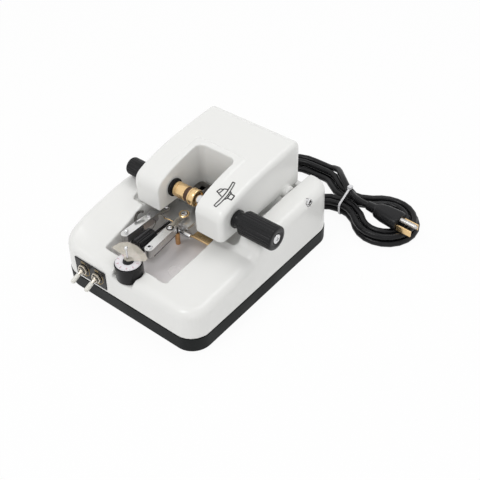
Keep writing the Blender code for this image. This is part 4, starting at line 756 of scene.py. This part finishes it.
def well_block(name, grow, low):
    """The well under the lens as a tool: a block with rounded upright corners."""
    tool = block(name, LAND_IN - grow, WELL_RIGHT + grow, -80 - grow, -2 + grow, low, 80)
    return round_posts(tool, 2.6 + grow)


for wall in (well_block("well_wall", CASE_WALL, 22 - CASE_WALL),
             block("recess_wall", -EAR_OUT, EAR_OUT, -14 - CASE_WALL, 104, SHELF - CASE_WALL, 80),
             block("pocket_wall", -EAR_OUT, EAR_OUT, 41 - CASE_WALL, 92 + CASE_WALL, 37 - CASE_WALL, SHELF),
             block("notch_wall", -14.5 - CASE_WALL, 9 + CASE_WALL, -102, -80, 38.5 - CASE_WALL, 60),
             block("arm_wall", -53 - CASE_WALL, 53 + CASE_WALL, -30 - CASE_WALL, -14, 60 - CASE_WALL, 80)):
    carve(hollow, wall)
carve(housing, hollow)
for tool in (well_block("well", 0, 22),
             round_posts(block("recess", -EAR_IN, EAR_IN, -14, 104, SHELF, 80), 4, lambda x, y: y < 0),
             round_posts(block("arm_room", -53, 53, -30, -10, 60, 80), 3, lambda x, y: y < -20),
             round_posts(block("pocket", -EAR_IN, EAR_IN, 41, 92, 37, 50), 4)):
    carve(housing, tool)

# %% Dial notch, switch opening and holes
DIAL_AT = (-3, -87, 0)
HINGE = (0, 63, 62.5)
PLATE_X = node_heart("switch_plate")[0]
NUTS = [node_heart("switch_nut_" + side)[::2] for side in ("left", "right")]
carve(housing, turn_up("dial_room", [(12.9, 38.5), (12.9, 60)], DIAL_AT, sides=96))
carve(housing, block("dial_mouth", -14.5, 9, -104, DIAL_AT[1], 38.65, 60))
carve(housing, turn_up("sleeve_hole", [(2.9, 30), (2.9, 42)], DIAL_AT, sides=32))
carve(housing, block("plate_sink", PLATE_X - 18.8, PLATE_X + 18.8, -102, -98.7, 18.7, 39.3))
mould(housing, 1.05)
for x, z in NUTS:
    carve(housing, turn_up("switch_hole", [(3.9, -102), (3.9, -90)], (x, 0, z), "Y", 32))
for side in (-1, 1):
    carve(housing, turn_up("hinge_bore", [(2.8, side * 50), (2.8, side * 82)], HINGE, "X", 32))
    carve(housing, turn_up("hinge_sink", [(4.2, side * 76.4), (4.2, side * 82)], HINGE, "X"))
carve(housing, turn_up("cord_hole", [(3.9, 90), (3.9, 104)], (-45, 0, 28), "Y", 32))
hand_over(smooth(housing, 50), white_case, "housing")

# %% [markdown]
# ## The head
# The white head tilts on the ears. Its side outline is drawn point by point, pushed across the machine and
# rounded along both sides. A low lip runs round the gap for the lens. It is hollow from below, and it is
# cast in fine voxels like the housing.

# %% Head outline
HEAD_HALF, HEAD_FRONT, HEAD_BACK, HEAD_LOW, HEAD_TOP = 51, -28, 85, 62, 108
NOSE_R, BROW_Z, HEAD_ROLL, HEAD_WALL = 12, 93.8, 8, 2.5
TOP_LINE = [(0.168, 0.225), (0.416, 0.648), (0.681, 0.859)]


def head_side(inset, low):
    """The side outline as (y, z) places, from the low front corner over the top to the low back corner."""
    nose, roll = NOSE_R - inset, HEAD_ROLL - inset
    points = [(HEAD_FRONT + inset, low)]
    for k in range(15):
        a = pi - radians(66) * k / 14
        points.append((HEAD_FRONT + NOSE_R + nose * cos(a), BROW_Z - NOSE_R + nose * sin(a)))
    top = [points[-1]] + [(HEAD_FRONT + a * (HEAD_BACK - HEAD_FRONT), BROW_Z + b * (HEAD_TOP - BROW_Z) - inset)
                          for a, b in TOP_LINE] + [(HEAD_BACK - HEAD_ROLL, HEAD_TOP - inset)]
    points += [(p.y, p.z) for p in smooth_line([(0, y, z) for y, z in top], 4)[1:]]
    for k in range(1, 13):
        a = QUARTER - QUARTER * k / 12
        points.append((HEAD_BACK - HEAD_ROLL + roll * cos(a), HEAD_TOP - HEAD_ROLL + roll * sin(a)))
    return points + [(HEAD_BACK - inset, low)]


def side_block(name, outline, left, right, rounding, low):
    """A side outline pushed across the machine and rounded on both sides."""
    piece = outline_block(name, [(left, y, z) for y, z in outline], (right - left, 0, 0))
    if rounding:
        pick("EDGE", lambda corners: all(abs(c[0] - corners[0][0]) < 0.01 for c in corners)
             and any(c[2] > low + 0.1 for c in corners))
        bpy.ops.mesh.bevel(offset=rounding * MM, segments=8, affect="EDGES", clamp_overlap=False)
    return smooth(settle(piece))


# %% Carve the head
GAP_LEFT, GAP_RIGHT, GAP_BACK, LIP, LENS_AXIS = -21, 22, 29, 6, (0, -8, 78)
head = side_block("moulded_head", head_side(0, HEAD_LOW), -HEAD_HALF, HEAD_HALF, 5, HEAD_LOW)
lip_side = [(y, z + 1.1 * max(0, min(1, (y + 24) / 24))) for y, z in head_side(0.2, 78)]
lip = side_block("gap_lip", lip_side, GAP_LEFT - LIP, GAP_RIGHT + LIP, 0, 78)
carve(lip, block("lip_end", GAP_LEFT - 20, GAP_RIGHT + 20, GAP_BACK + LIP, 120, 60, 120))
carve(head, round_posts(lip, 9, lambda x, y: y > 20), "UNION")
inside = side_block("head_hollow", head_side(HEAD_WALL, 54), HEAD_WALL - HEAD_HALF, HEAD_HALF - HEAD_WALL, 3, 54)


def gap_block(name, grow, corner):
    """The gap for the lens as a tool, grown by a wall."""
    tool = block(name, GAP_LEFT - grow, GAP_RIGHT + grow, HEAD_FRONT - 4, GAP_BACK + grow, 50, 112)
    return round_posts(tool, corner, lambda x, y: y > 0)


carve(inside, gap_block("gap_wall", HEAD_WALL, 9))
carve(head, turn_up("hinge_boss", [(6.5, -55.7), (6.5, 55.7)], HINGE, "X"), "UNION")
carve(head, inside)
carve(head, gap_block("head_gap", 0, 7))
mould(head, 0.95)
for radius, left, right, at in ((3.3, -53, -19, LENS_AXIS), (4.8, 20, 53, LENS_AXIS), (2.8, -58, 58, HINGE)):
    carve(head, turn_up("bore", [(radius, left), (radius, right)], at, "X", 32))
hand_over(smooth(head, 50), white_case, "head_cover")

# %% Hinge screws
for side, name in ((-1, "left"), (1, "right")):
    stations = [(2.5, side * 48.3), (2.5, side * 76.7), (3.6, side * 76.7), (3.8, side * 77.0),
                (3.8, side * 77.9), (3.3, side * 78.5), (2.0, side * 78.7)]
    screw = turn_up("hinge_bolt_" + name, stations, HINGE, "X", 40)
    carve(screw, block("slot", side * 78.6 - 0.7, side * 78.6 + 0.7, 58, 68, 62.0, 63.0))
    hand_over(smooth(screw), chrome, "hinge_screw_" + name)

# %% [markdown]
# ## The lens axis
# From left to right: a fluted knob, a black hub, a brass adapter, two rubber pads that hold the lens, a
# brass tip, a chrome spindle, a black collar on the head and the long fluted knob. All are turned on one
# axis. The flutes come from drawing every few columns of the surface in towards the axis.

# %% Turned pieces on the lens axis
PAD = [(5.4, 0), (6.3, 0), (6.6, 0.3), (6.6, 0.65), (6.2, 0.8), (6.2, 1.05), (6.6, 1.2), (6.6, 1.55), (6.3, 1.85),
       (2, 1.85)]
on_axis = {}
for name, node, look, slot, sides, ribs, profile in (
    ("fluted_left_knob", "left_knob", black_plastic, None, 88, (-72, -54, (1, 1, 0.93, 0.93)),
     [(5.4, -73), (7.2, -73), (8, -72.6), (8.5, -71.6), (8.5, -54.4), (8.1, -53.5), (7.4, -53), (3.3, -53),
      (3.3, -62.7)]),
    ("lens_hub", "left_hub", black_plastic, None, 64, None,
     [(3.3, -20.7), (8.2, -20.7), (8.7, -20.2), (8.7, -18.9), (8.3, -18.5), (7.2, -18.4), (6.9, -18.1),
      (6.9, -17.3), (3.3, -17.3), (3.3, -20.7)]),
    ("turned_adapter", "brass_adapter", brass, None, 72, None,
     [(5.6, -16.7), (6.5, -16.7), (7, -16.2), (7, -13.7), (6.65, -13.5), (6.65, -13.1), (7, -12.9), (7, -9.4),
      (6.8, -9.2), (6.8, -5.4), (7, -5.2), (7, -4.7), (6.6, -4.3), (2, -4.3)]),
    ("ribbed_pad_left", "lens_pad_left", pad_rubber, "black_rubber", 56, None, [(r, z - 4) for r, z in PAD]),
    ("ribbed_pad_right", "lens_pad_right", pad_rubber, "black_rubber", 56, None, [(r, z - 1.85) for r, z in PAD]),
    ("turned_tip", "clamp_tip", brass, None, 72, None,
     [(5.6, 0.3), (7.3, 0.3), (7.8, 0.6), (8, 1), (8, 2.1), (7.5, 2.4), (7.5, 4.9), (8, 5.2), (8, 6.7), (7.6, 7.3),
      (6.6, 7.3), (6.3, 6.2), (5, 6.2)]),
    ("ground_spindle", "clamp_spindle", chrome, None, 56, None, [(4, 7.6), (4.5, 8.1), (4.5, 77.2), (4.2, 77.5)]),
    ("stepped_collar", "clamp_collar", black_plastic, None, 64, None,
     [(4.8, 51.3), (8, 51.3), (8.5, 51.8), (8.5, 53.6), (8.1, 54.1), (7.7, 54.3), (7.5, 54.8), (7.5, 59.2),
      (7.1, 59.7), (4.8, 59.7), (4.8, 51.3)]),
    ("fluted_right_knob", "right_knob", black_plastic, None, 104, (61, 93.5, (1, 1, 0.955, 0.955)),
     [(4.8, 60), (9.4, 60), (10.6, 60.4), (11.2, 61.4), (11.2, 93.2), (11, 94), (10.3, 94.7), (9.4, 95), (7.6, 95),
      (7.2, 94.6), (5.4, 94.4), (4.9, 94), (4.9, 93), (2, 93)]),
    ("crossed_end_screw", "knob_screw", chrome, None, 48, None,
     [(4.2, 93.3), (4.5, 93.6), (4.5, 94.4), (4.2, 94.9), (3.2, 95.3), (1.8, 95.5)]),
):
    piece = turn_up(name, profile, LENS_AXIS, "X", sides, ribs)
    on_axis[node] = hand_over(piece, look, node, slot=slot)

# %% Bore of the right knob and cross of its screw
carve(on_axis["right_knob"], turn_up("knob_bore", [(4.8, 58), (4.8, 77.8)], LENS_AXIS, "X"))
for low, wide in ((-0.45, 2.4), (-2.4, 0.45)):
    carve(on_axis["knob_screw"], block("cross", 94.6, 96, -8 - wide, -8 + wide, 78 + low, 78 - low))
for node in ("right_knob", "knob_screw"):
    print(smooth(on_axis[node]).name, "carved")

# %% [markdown]
# ## The grinding wheel
# Behind the adapter a small motor turns a thin grooving wheel inside a dark metal hood. The hood is turned,
# and its mouth is opened with a Boolean.

# %% Motor, wheel and hood
WHEEL_AXIS = (0, 12, 62)
motor = turn_up("grinding_motor_can", [(1.8, 2), (10.6, 2), (11.6, 2.4), (12, 3.2), (12, 18), (11.4, 19.4),
                                       (10, 20), (4, 20)], WHEEL_AXIS, "X", 64)
carve(motor, turn_up("shaft_bore", [(1.8, 0), (1.8, 14)], WHEEL_AXIS, "X", 24))
carve(motor, block("motor_foot", 4, 18, 7.5, 16.5, 48.3, 52), "UNION")
hand_over(smooth(motor), black_plastic, "grinding_motor")
wheel = turn_up("thin_wheel", [(1.8, -4.2), (7.6, -4.2), (8.4, -3.7), (9, -3.1), (9, -2.9), (8.4, -2.3),
                               (7.6, -1.8), (1.8, -1.8), (1.8, -4.2)], WHEEL_AXIS, "X", 72)
hand_over(wheel, steel, "groove_wheel")
hood = turn_up("wheel_hood", [(9.6, -12), (11.2, -11.8), (12, -11), (12, 1.4), (11.7, 1.7), (10.8, 1.7),
                              (10.8, -10.8), (3, -10.8)], WHEEL_AXIS, "X", 64)
carve(hood, block("hood_foot", -10, 0, 7.5, 16.5, 48.3, 50.8), "UNION")
carve(hood, block("hood_mouth", -5.4, -0.6, 0, 12, 64, 76))
hand_over(smooth(hood), dark_steel, "wheel_guard", slot="black_plastic")

# %% [markdown]
# ## The guide arms
# Two bright channels of folded sheet lead the lens. Their shape in the CAD is right, so their meshes are
# copied, their triangles are joined and their edges get a small fold radius. Their upright sides get a
# darker steel than their tops as painted shade. Screws, a coiled spring, thin rods and a ribbed knob are modelled
# new around them.

# %% Arms and frame
for side in ("left", "right"):
    arm = refine("folded_%s_arm" % side, side + "_guide_arm", arm_chrome, 0.55, 3, slot="chrome")
    arm.data.materials.append(steel)
    # Faces that stand upright take the darker steel: painted shade for the arms' sides, which lie in shadow.
    for face in arm.data.polygons:
        face.material_index = 1 if abs(face.normal.z) < 0.3 else 0
refine("pivot_frame", "guide_frame", arm_chrome, 0.3, slot="steel")


# %% Screws on the arms
def screw_head(name, at, radius, height, turn, look_slot, *nodes, body=None, low=0.0, shank=None):
    """A chrome screw: a domed head with a slot, on an optional shank that starts lower."""
    stations = [(1.4, shank), (1.4, low)] if shank else []
    stations += [(radius * 0.92, low), (radius, low + 0.12 * height), (radius, low + 0.45 * height),
                 (radius * 0.86, low + 0.8 * height), (radius * 0.5, low + height)]
    made = turn_up(name, stations, at, "Z", 40)
    slot_cut = block("slot", -1.2 * radius, 1.2 * radius, -0.14 * radius, 0.14 * radius, -height / 2, height / 2)
    carve(made, swing(slot_cut, (at[0], at[1], at[2] + low + height * 1.05), turn))
    return hand_over(smooth(made), chrome, *nodes, slot=look_slot, body=body)


LEFT_BOLT, RIGHT_BOLT, RIGHT_PIVOT = (-31.3, -32.5, 53.9), (-5.6, -32.5, 53.9), (-8, -11, 0)
screw_head("left_pivot_bolt", (-28, -13, 0), 2.8, 1.8, 0.6, "steel", "left_pivot_screw", low=54.3, shank=48.6)
screw_head("right_pivot_bolt", RIGHT_PIVOT, 3.2, 2.1, -0.5, "brass", "right_pivot_screw", low=54.3, shank=48.6)
screw_head("left_arm_bolt", LEFT_BOLT, 2.1, 1.6, 0.6, "chrome", body="left_arm")
screw_head("right_arm_bolt", RIGHT_BOLT, 2.3, 1.2, 1.1, "chrome", body="right_arm")

# %% Small turned pieces about the arms
SOCKET_AT, POST_AT = (-2.2, -62.4, 0), (-9.6, -20.6, 0)
for name, look, slot, body, at, sides, profile in (
    ("brass_pivot_seat", brass, None, "right_arm", RIGHT_PIVOT, 48,
     [(3.4, 54.1), (4.8, 54.1), (5, 54.3), (5, 54.9), (4.5, 55.3), (3.4, 55.3), (3.4, 54.1)]),
    ("left_arm_ball", chrome, None, "left_arm", (-31.6, -60.6, 0), 32,
     [(0.9, 53.6), (1.2, 54.2), (1.75, 54.9), (1.9, 55.6), (1.7, 56.4), (1.1, 57.1), (0.4, 57.4)]),
    ("right_arm_socket", chrome, None, "right_arm", SOCKET_AT, 32,
     [(2.4, 53.7), (2.6, 54.2), (2.6, 55), (2.2, 55.4), (1.5, 55.4), (1.3, 54.9), (1.3, 54.2)]),
    ("socket_bottom", black_plastic, None, "right_arm", SOCKET_AT, 24, [(1.25, 54.1), (1.25, 54.5)]),
    ("right_arm_washer", dark_steel, "steel", "right_arm", (*RIGHT_BOLT[:2], 0), 40,
     [(2.5, 54.05), (3.5, 54.05), (3.5, 54.3), (2.5, 54.3), (2.5, 54.05)]),
    ("post_stem", dark_steel, "steel", "base", POST_AT, 24, [(1.3, 38.1), (1.3, 47.8)]),
):
    hand_over(turn_up(name, profile, at, "Z", sides), look, slot=slot, body=body)
hand_over(turn_up("copper_post", [(2.1, 24.6), (2.3, 24.9), (2.3, 37.4), (2, 38)], POST_AT, sides=32), copper,
          "guide_post")
hand_over(turn_up("polished_cross_pin", [(1.6, -6), (1.8, -5.7), (1.8, -3.4), (2.7, -3), (2.8, -2.6), (2.8, 7.4),
                                         (2.5, 8.1), (1.5, 8.5), (0.5, 8.6)], (0, -21.2, 42.9), "X", 40), chrome,
          "cross_pin")
strip = swing(round_posts(block("right_arm_strip", -2.6, 2.6, -1.6, 14.5, 54.05, 54.5), 1.2, segments=4),
              (-5.8, -28, 0), 0.11)
hand_over(smooth(strip), nickel, slot="brass", body="right_arm")

# %% Ribbed adjusting knob
knob = turn_up("ribbed_adjuster", [(5.6, -62), (6.8, -62), (7.4, -61.4), (7.6, -60.8), (7.6, -42.2), (7.4, -41.5),
                                   (6.8, -41), (2.6, -41), (2.4, -38.6), (1.4, -38.4), (1.4, -17.2), (1.1, -17)],
               (-19.5, 0, 44.3), "Y", 72, (-61.2, -41.6, (1, 1, 0.9, 0.9)))
hand_over(knob, black_plastic, "position_knob")

# %% Spring and thin rods
SPRING_R, WIRE_R, TURNS, TURN_STEPS = 1.0, 0.34, 15, 12
spring_line = smooth_line([(-35.0, -46.0, 55.2), (-36.6, -43.6, 57.4), (-37.8, -40.8, 59.2), (-37.4, -37.6, 59.8),
                           (-35.4, -34.8, 59.0), (-32.8, -33.0, 56.8)], 24)
coil = []
for k in range(TURNS * TURN_STEPS + 1):
    place = (len(spring_line) - 2) * k / (TURNS * TURN_STEPS)
    before, after = spring_line[int(place)], spring_line[int(place) + 1]
    heart, way = before.lerp(after, place % 1), (after - before).normalized()
    out = way.cross(Vector((0, 0, 1))).normalized()
    turn = tau * k / TURN_STEPS
    coil.append(heart + SPRING_R * (out * cos(turn) + way.cross(out) * sin(turn)))
bent_wire("coiled_arm_spring", coil, WIRE_R, dark_steel, "arm_spring", slot="steel", body="left_arm")
LEFT_LINK = smooth_line([(-27.6, -31, 51), (-24.5, -31.5, 52), (-22.5, -34, 51), (-22.4, -38, 48)], 1)
CROSS_LINK = smooth_line([(-24, -21.5, 50), (-20, -23.5, 51.5), (-15, -22.5, 51.5), (-11, -21.5, 50)], 1)
bent_wire("left_link_rod", LEFT_LINK, 0.4, dark_steel, slot="steel", body="left_arm")
bent_wire("cross_link_rod", CROSS_LINK, 0.45, brass, body="base")
# A thin dark rod under the right arm stands for the channel's lower lip and the shadow line below it: partly
# painted shade.
bent_wire("arm_lip_and_shadow_rod", [(1.2, -61, 45), (-2.6, -30, 45)], 0.55, dark_steel, slot="steel", body="right_arm")

# %% [markdown]
# ## The brass plate and the well's floor
# A bent brass plate stands in the well's right rear corner, and a grey moulded plate with faint rings covers
# the well's floor.

# %% Brass plate and floor
refine("bent_brass_plate", "brass_bracket", brass, 0.5, 3)
plate = round_posts(block("moulded_well_floor", -39.7, 31.7, -79.7, -2.3, 22.3, 24.3), 2.4)
for x, y, radius in ((13.2, -48.7, 7.4), (13.2, -48.7, 4.6), (-22, -66, 4.0)):
    carve(plate, turn_up("floor_ring", [(radius, 23.95), (radius, 25), (radius - 0.8, 25), (radius - 0.8, 23.95),
                                        (radius, 23.95)], (x, y, 0), sides=56))
hand_over(smooth(soften(plate, 0.25, 2)), grey_floor, "well_floor")

# %% [markdown]
# ## The depth dial
# The black dial sits in its notch at the front edge. A white ring with ticks and plain numbers lies on it,
# with a black hub, a ball-headed pin through the middle and a clear fan-shaped index plate above. The
# numbers are text made mesh, set round the ring.

# %% Dial body, ring and pin
BALL_R, BALL_Z = 1.7, 70.8
BALL = [(BALL_R * cos(radians(a)), BALL_Z + BALL_R * sin(radians(a))) for a in range(-54, 90, 16)]
for name, node, look, sides, profile in (
    ("moulded_dial", "depth_dial", black_plastic, 96,
     [(1.2, 38.8), (11.4, 38.8), (12.1, 39.2), (12.3, 39.8), (12.3, 53.6), (12.1, 54.3), (11.6, 54.6), (4.6, 54.6),
      (4.5, 56.9), (4.1, 57.5), (3.4, 57.6), (1.2, 57.6), (1.2, 38.8)]),
    ("printed_ring", "dial_scale", dial_white, 96,
     [(4.8, 54.9), (11.1, 54.9), (11.3, 55.1), (11.3, 55.5), (11.1, 55.7), (4.8, 55.7), (4.8, 54.9)]),
    ("ball_headed_pin", "pointer_pin", chrome, 28, [(0.7, 28), (0.9, 28.2), (0.9, 69.4)] + BALL),
):
    hand_over(turn_up(name, profile, DIAL_AT, sides=sides), look, node)


# %% Numbers and ticks
def flat_text(words, size):
    """A word as a thin flat mesh about the world's middle."""
    begin()
    bpy.ops.object.text_add(location=(0, 0, 0))
    text = bpy.context.object.data
    text.body, text.size, text.extrude = words, size * MM, 0.03 * MM
    text.align_x = text.align_y = "CENTER"
    bpy.ops.object.convert(target="MESH")
    return bpy.context.object


def join_up(name, parts, look, slot, body):
    """Join loose marks into one piece and hand it over."""
    take(*parts)
    bpy.ops.object.join()
    return hand_over(named(name), look, slot=slot, body=body)


NUMBER_R, TICK_END, LONG_TICK, SHORT_TICK = 8.9, 11.05, 1.3, 0.7
numbers, ticks = [], []
for k in range(10):
    a = tau * k / 10
    at = (DIAL_AT[0] + NUMBER_R * sin(a), DIAL_AT[1] + NUMBER_R * cos(a), 55.72)
    numbers.append(settle(flat_text(str(k), 2.9), at, (0, 0, -a)))
for k in range(50):
    start = TICK_END - (SHORT_TICK if k % 5 else LONG_TICK)
    ticks.append(swing(block("tick", -0.07, 0.07, start, TICK_END, 55.69, 55.75), DIAL_AT, -tau * k / 50))
join_up("dial_numbers", numbers, pink_ink, "dial_white", "dial")
join_up("dial_ticks", ticks, black_ink, "dial_white", "dial")

# %% Index plate
FAN = [(-24.2, -85.3), (-22.9, -76.3), (-17.4, -71.6), (-7.8, -70.6), (4.5, -73.6), (10.5, -76.9), (10.6, -80.3),
       (1.6, -85.6), (-1.0, -89.4), (-5.4, -89.4), (-8.6, -86.0)]
index = settle(outline_block("clear_index_plate", [(x, y, 57.9) for x, y in FAN], (0, 0, 1)))
carve(round_posts(index, 1.0, segments=4), turn_up("index_hole", [(1.1, 57), (1.1, 60)], DIAL_AT, sides=24))
hand_over(smooth(soften(index, 0.15, 2)), clear_plate, "pointer_plate")
join_up("index_rays", [swing(block("ray", 10.5, 16, -0.1, 0.1, 58.86, 58.93), DIAL_AT, radians(bearing))
                       for bearing in (26, 36, 46, 58, 132, 144, 155, 166)], nickel, "clear_plate", "base")

# %% [markdown]
# ## The switches
# A black plate let into the front wall holds two toggle switches. Each has a threaded bushing, a bright
# nut and a pale paddle. The plate carries plain gold ON and OFF marks and an arc round each nut.

# %% Switch plate and marks
PLATE_FACE = node_box("switch_plate")[0][1]
refine("front_switch_plate", "switch_plate", black_plastic, 0.25)
join_up("plate_marks", [settle(flat_text(words, 3.0), (x, PLATE_FACE - 0.02, z + up), (QUARTER, 0, 0))
                        for x, z in NUTS for words, up in (("ON", 7.3), ("OFF", -7.6))], gold_mark, "brass", "base")

# %% Bushings, nuts and levers
LEVER_LEAN, LEVER_Y, ARC_R = (radians(113), 0, 0), -102.6, 7.2
NECK = [(1.2, -1.6), (1.9, -1.1), (2.1, 0), (1.7, 1.2), (1.3, 1.9), (1.3, 4.6)]
PADDLE = [(1.2, 4.2), (1.8, 4.3), (2.05, 4.8), (2.25, 11.4), (2.1, 12.5), (1.6, 13.2), (0.8, 13.6)]
THREAD = [(2.6, 0), (3.3, 0)] + [(radius, up + 0.8 * k) for k in range(4) for radius, up in
                                 ((3.62, 0.25), (3.35, 0.65))] + [(3.6, 3.6), (2.6, 3.6), (2.6, 0)]
for (x, z), side in zip(NUTS, ("left", "right")):
    refine("switch_block_" + side, "switch_body_" + side, black_plastic, 0.2)
    body_face = node_box("switch_body_" + side)[0][1]
    hand_over(turn_up("threaded_bushing_" + side, THREAD, (x, body_face - 0.02, z), "Y", 40), nickel, slot="chrome",
              body="base")
    refine("six_sided_nut_" + side, "switch_nut_" + side, nickel, 0.35, 3, 25, slot="chrome")
    bent_wire("plate_arc_" + side, [(x + ARC_R * cos(radians(a)), PLATE_FACE - 0.03,
                                     z + ARC_R * sin(radians(a))) for a in range(-150, 31, 9)], 0.2,
              gold_mark, slot="brass", body="base")
    hand_over(turn_up("lever_neck_" + side, NECK, (x, LEVER_Y, z), LEVER_LEAN, 28), nickel, slot="steel",
              body=side + "_toggle")
    hand_over(turn_up("pale_paddle_" + side, PADDLE, (x, LEVER_Y, z), LEVER_LEAN, 32), lever_ivory,
              "switch_lever_" + side)

# %% [markdown]
# ## The cord's fittings
# A ribbed strain relief grips the cord at the back wall, a white tie holds the hank, and the cord ends in a
# moulded three-pin plug.

# %% Relief and tie
refine("ribbed_relief", "strain_relief", black_rubber, 0.3)
for k in range(5):
    rib = 4.9 - 0.22 * k
    hand_over(turn_up("relief_rib_%d" % k, [(3.5, 0), (rib, 0.2), (rib, 1.2), (3.5, 1.4), (3.5, 0)],
                      (-45, 103.2 + 3 * k, 28), "Y", 40), black_rubber, body="base")
# The tie follows the outside of the strands that pass it, then its round wire is widened to a band.
TIE_X, TIE_HALF = node_heart("cable_tie")[0], 0.6
held = [(p.y, p.z) for p in cord_line if abs(p.x - TIE_X) < 2]
tie_reach, wrap = CORD_R + CLEAR + TIE_HALF, []
for k in range(73):
    across, up = cos(tau * k / 72), sin(tau * k / 72)
    y, z = max(held, key=lambda p: p[0] * across + p[1] * up)
    wrap.append((TIE_X, y + tie_reach * across, z + tie_reach * up))
tie = bent_wire("white_hank_tie", wrap, TIE_HALF, tie_white, "cable_tie", body="base")
for vertex in tie.data.vertices:
    vertex.co.x = 2 * vertex.co.x - spot(TIE_X, 0, 0).x
top_x, top_y, top_z = max(wrap, key=lambda p: p[2])
tie_head = block("tie_head", top_x - 2.1, top_x + 2.1, top_y - 2.4, top_y + 2.4, top_z - 0.4, top_z + 2.8)
hand_over(smooth(soften(tie_head, 0.4, 2)), tie_white, body="base")

# %% Plug
refine("moulded_plug", "plug_body", black_rubber, 1.0, 4, 20, slot="black_plastic")
for name, look in (("left", brass), ("right", brass), ("earth", steel)):
    refine("plug_blade_" + name, "plug_pin_" + name, look, 0.2, slot="steel")

# %% [markdown]
# ## Marks on the head
# A plain line drawing on the head's right arm shows a lens held between two clamps. Its thin lines follow
# the head's curved top.

# %% Line drawing
TOP_PLACES = [place for place in head_side(0, HEAD_LOW) if place[1] > BROW_Z - 14]
for name, steps, corners in (
    ("lens", 2, [(35.9, 6.8), (38.3, 6.9), (39.9, 0.4), (41.2, -5.7), (41.4, -10.9), (40.8, -16.3), (39.8, -20.2),
                 (37.2, -19.8), (38.2, -14.3), (38.6, -9.0), (38.2, -3.2), (37.1, 2.0), (35.9, 6.8)]),
    ("left_clamp", 5, [(37.3, -1.8), (34.4, -2.6), (33.4, -9.0), (37.6, -10.2)]),
    ("left_stem", 5, [(33.8, -3.4), (31.4, -4.4), (30.4, -8.0), (33.3, -8.6)]),
    ("pad", 5, [(40.6, -2.4), (42.4, -3.2), (43.0, -9.6), (41.6, -11.6)]),
    ("right_clamp", 5, [(42.6, -4.0), (46.9, -4.4), (47.3, -9.0), (43.1, -9.2), (42.6, -4.0)]),
):
    path = [(x0 + (x1 - x0) * k / steps, y0 + (y1 - y0) * k / steps)
            for (x0, y0), (x1, y1) in zip(corners, corners[1:]) for k in range(steps)] + corners[-1:]
    bent_wire("drawn_" + name, [(x, y, along(TOP_PLACES, y) - 0.05) for x, y in path], 0.55, black_ink,
              slot="black_plastic", body="head")

# %% [markdown]
# ## Finish
# The last cell closes any open mesh and brings the scene up to date.

# %% Close
begin()
bpy.context.view_layer.update()
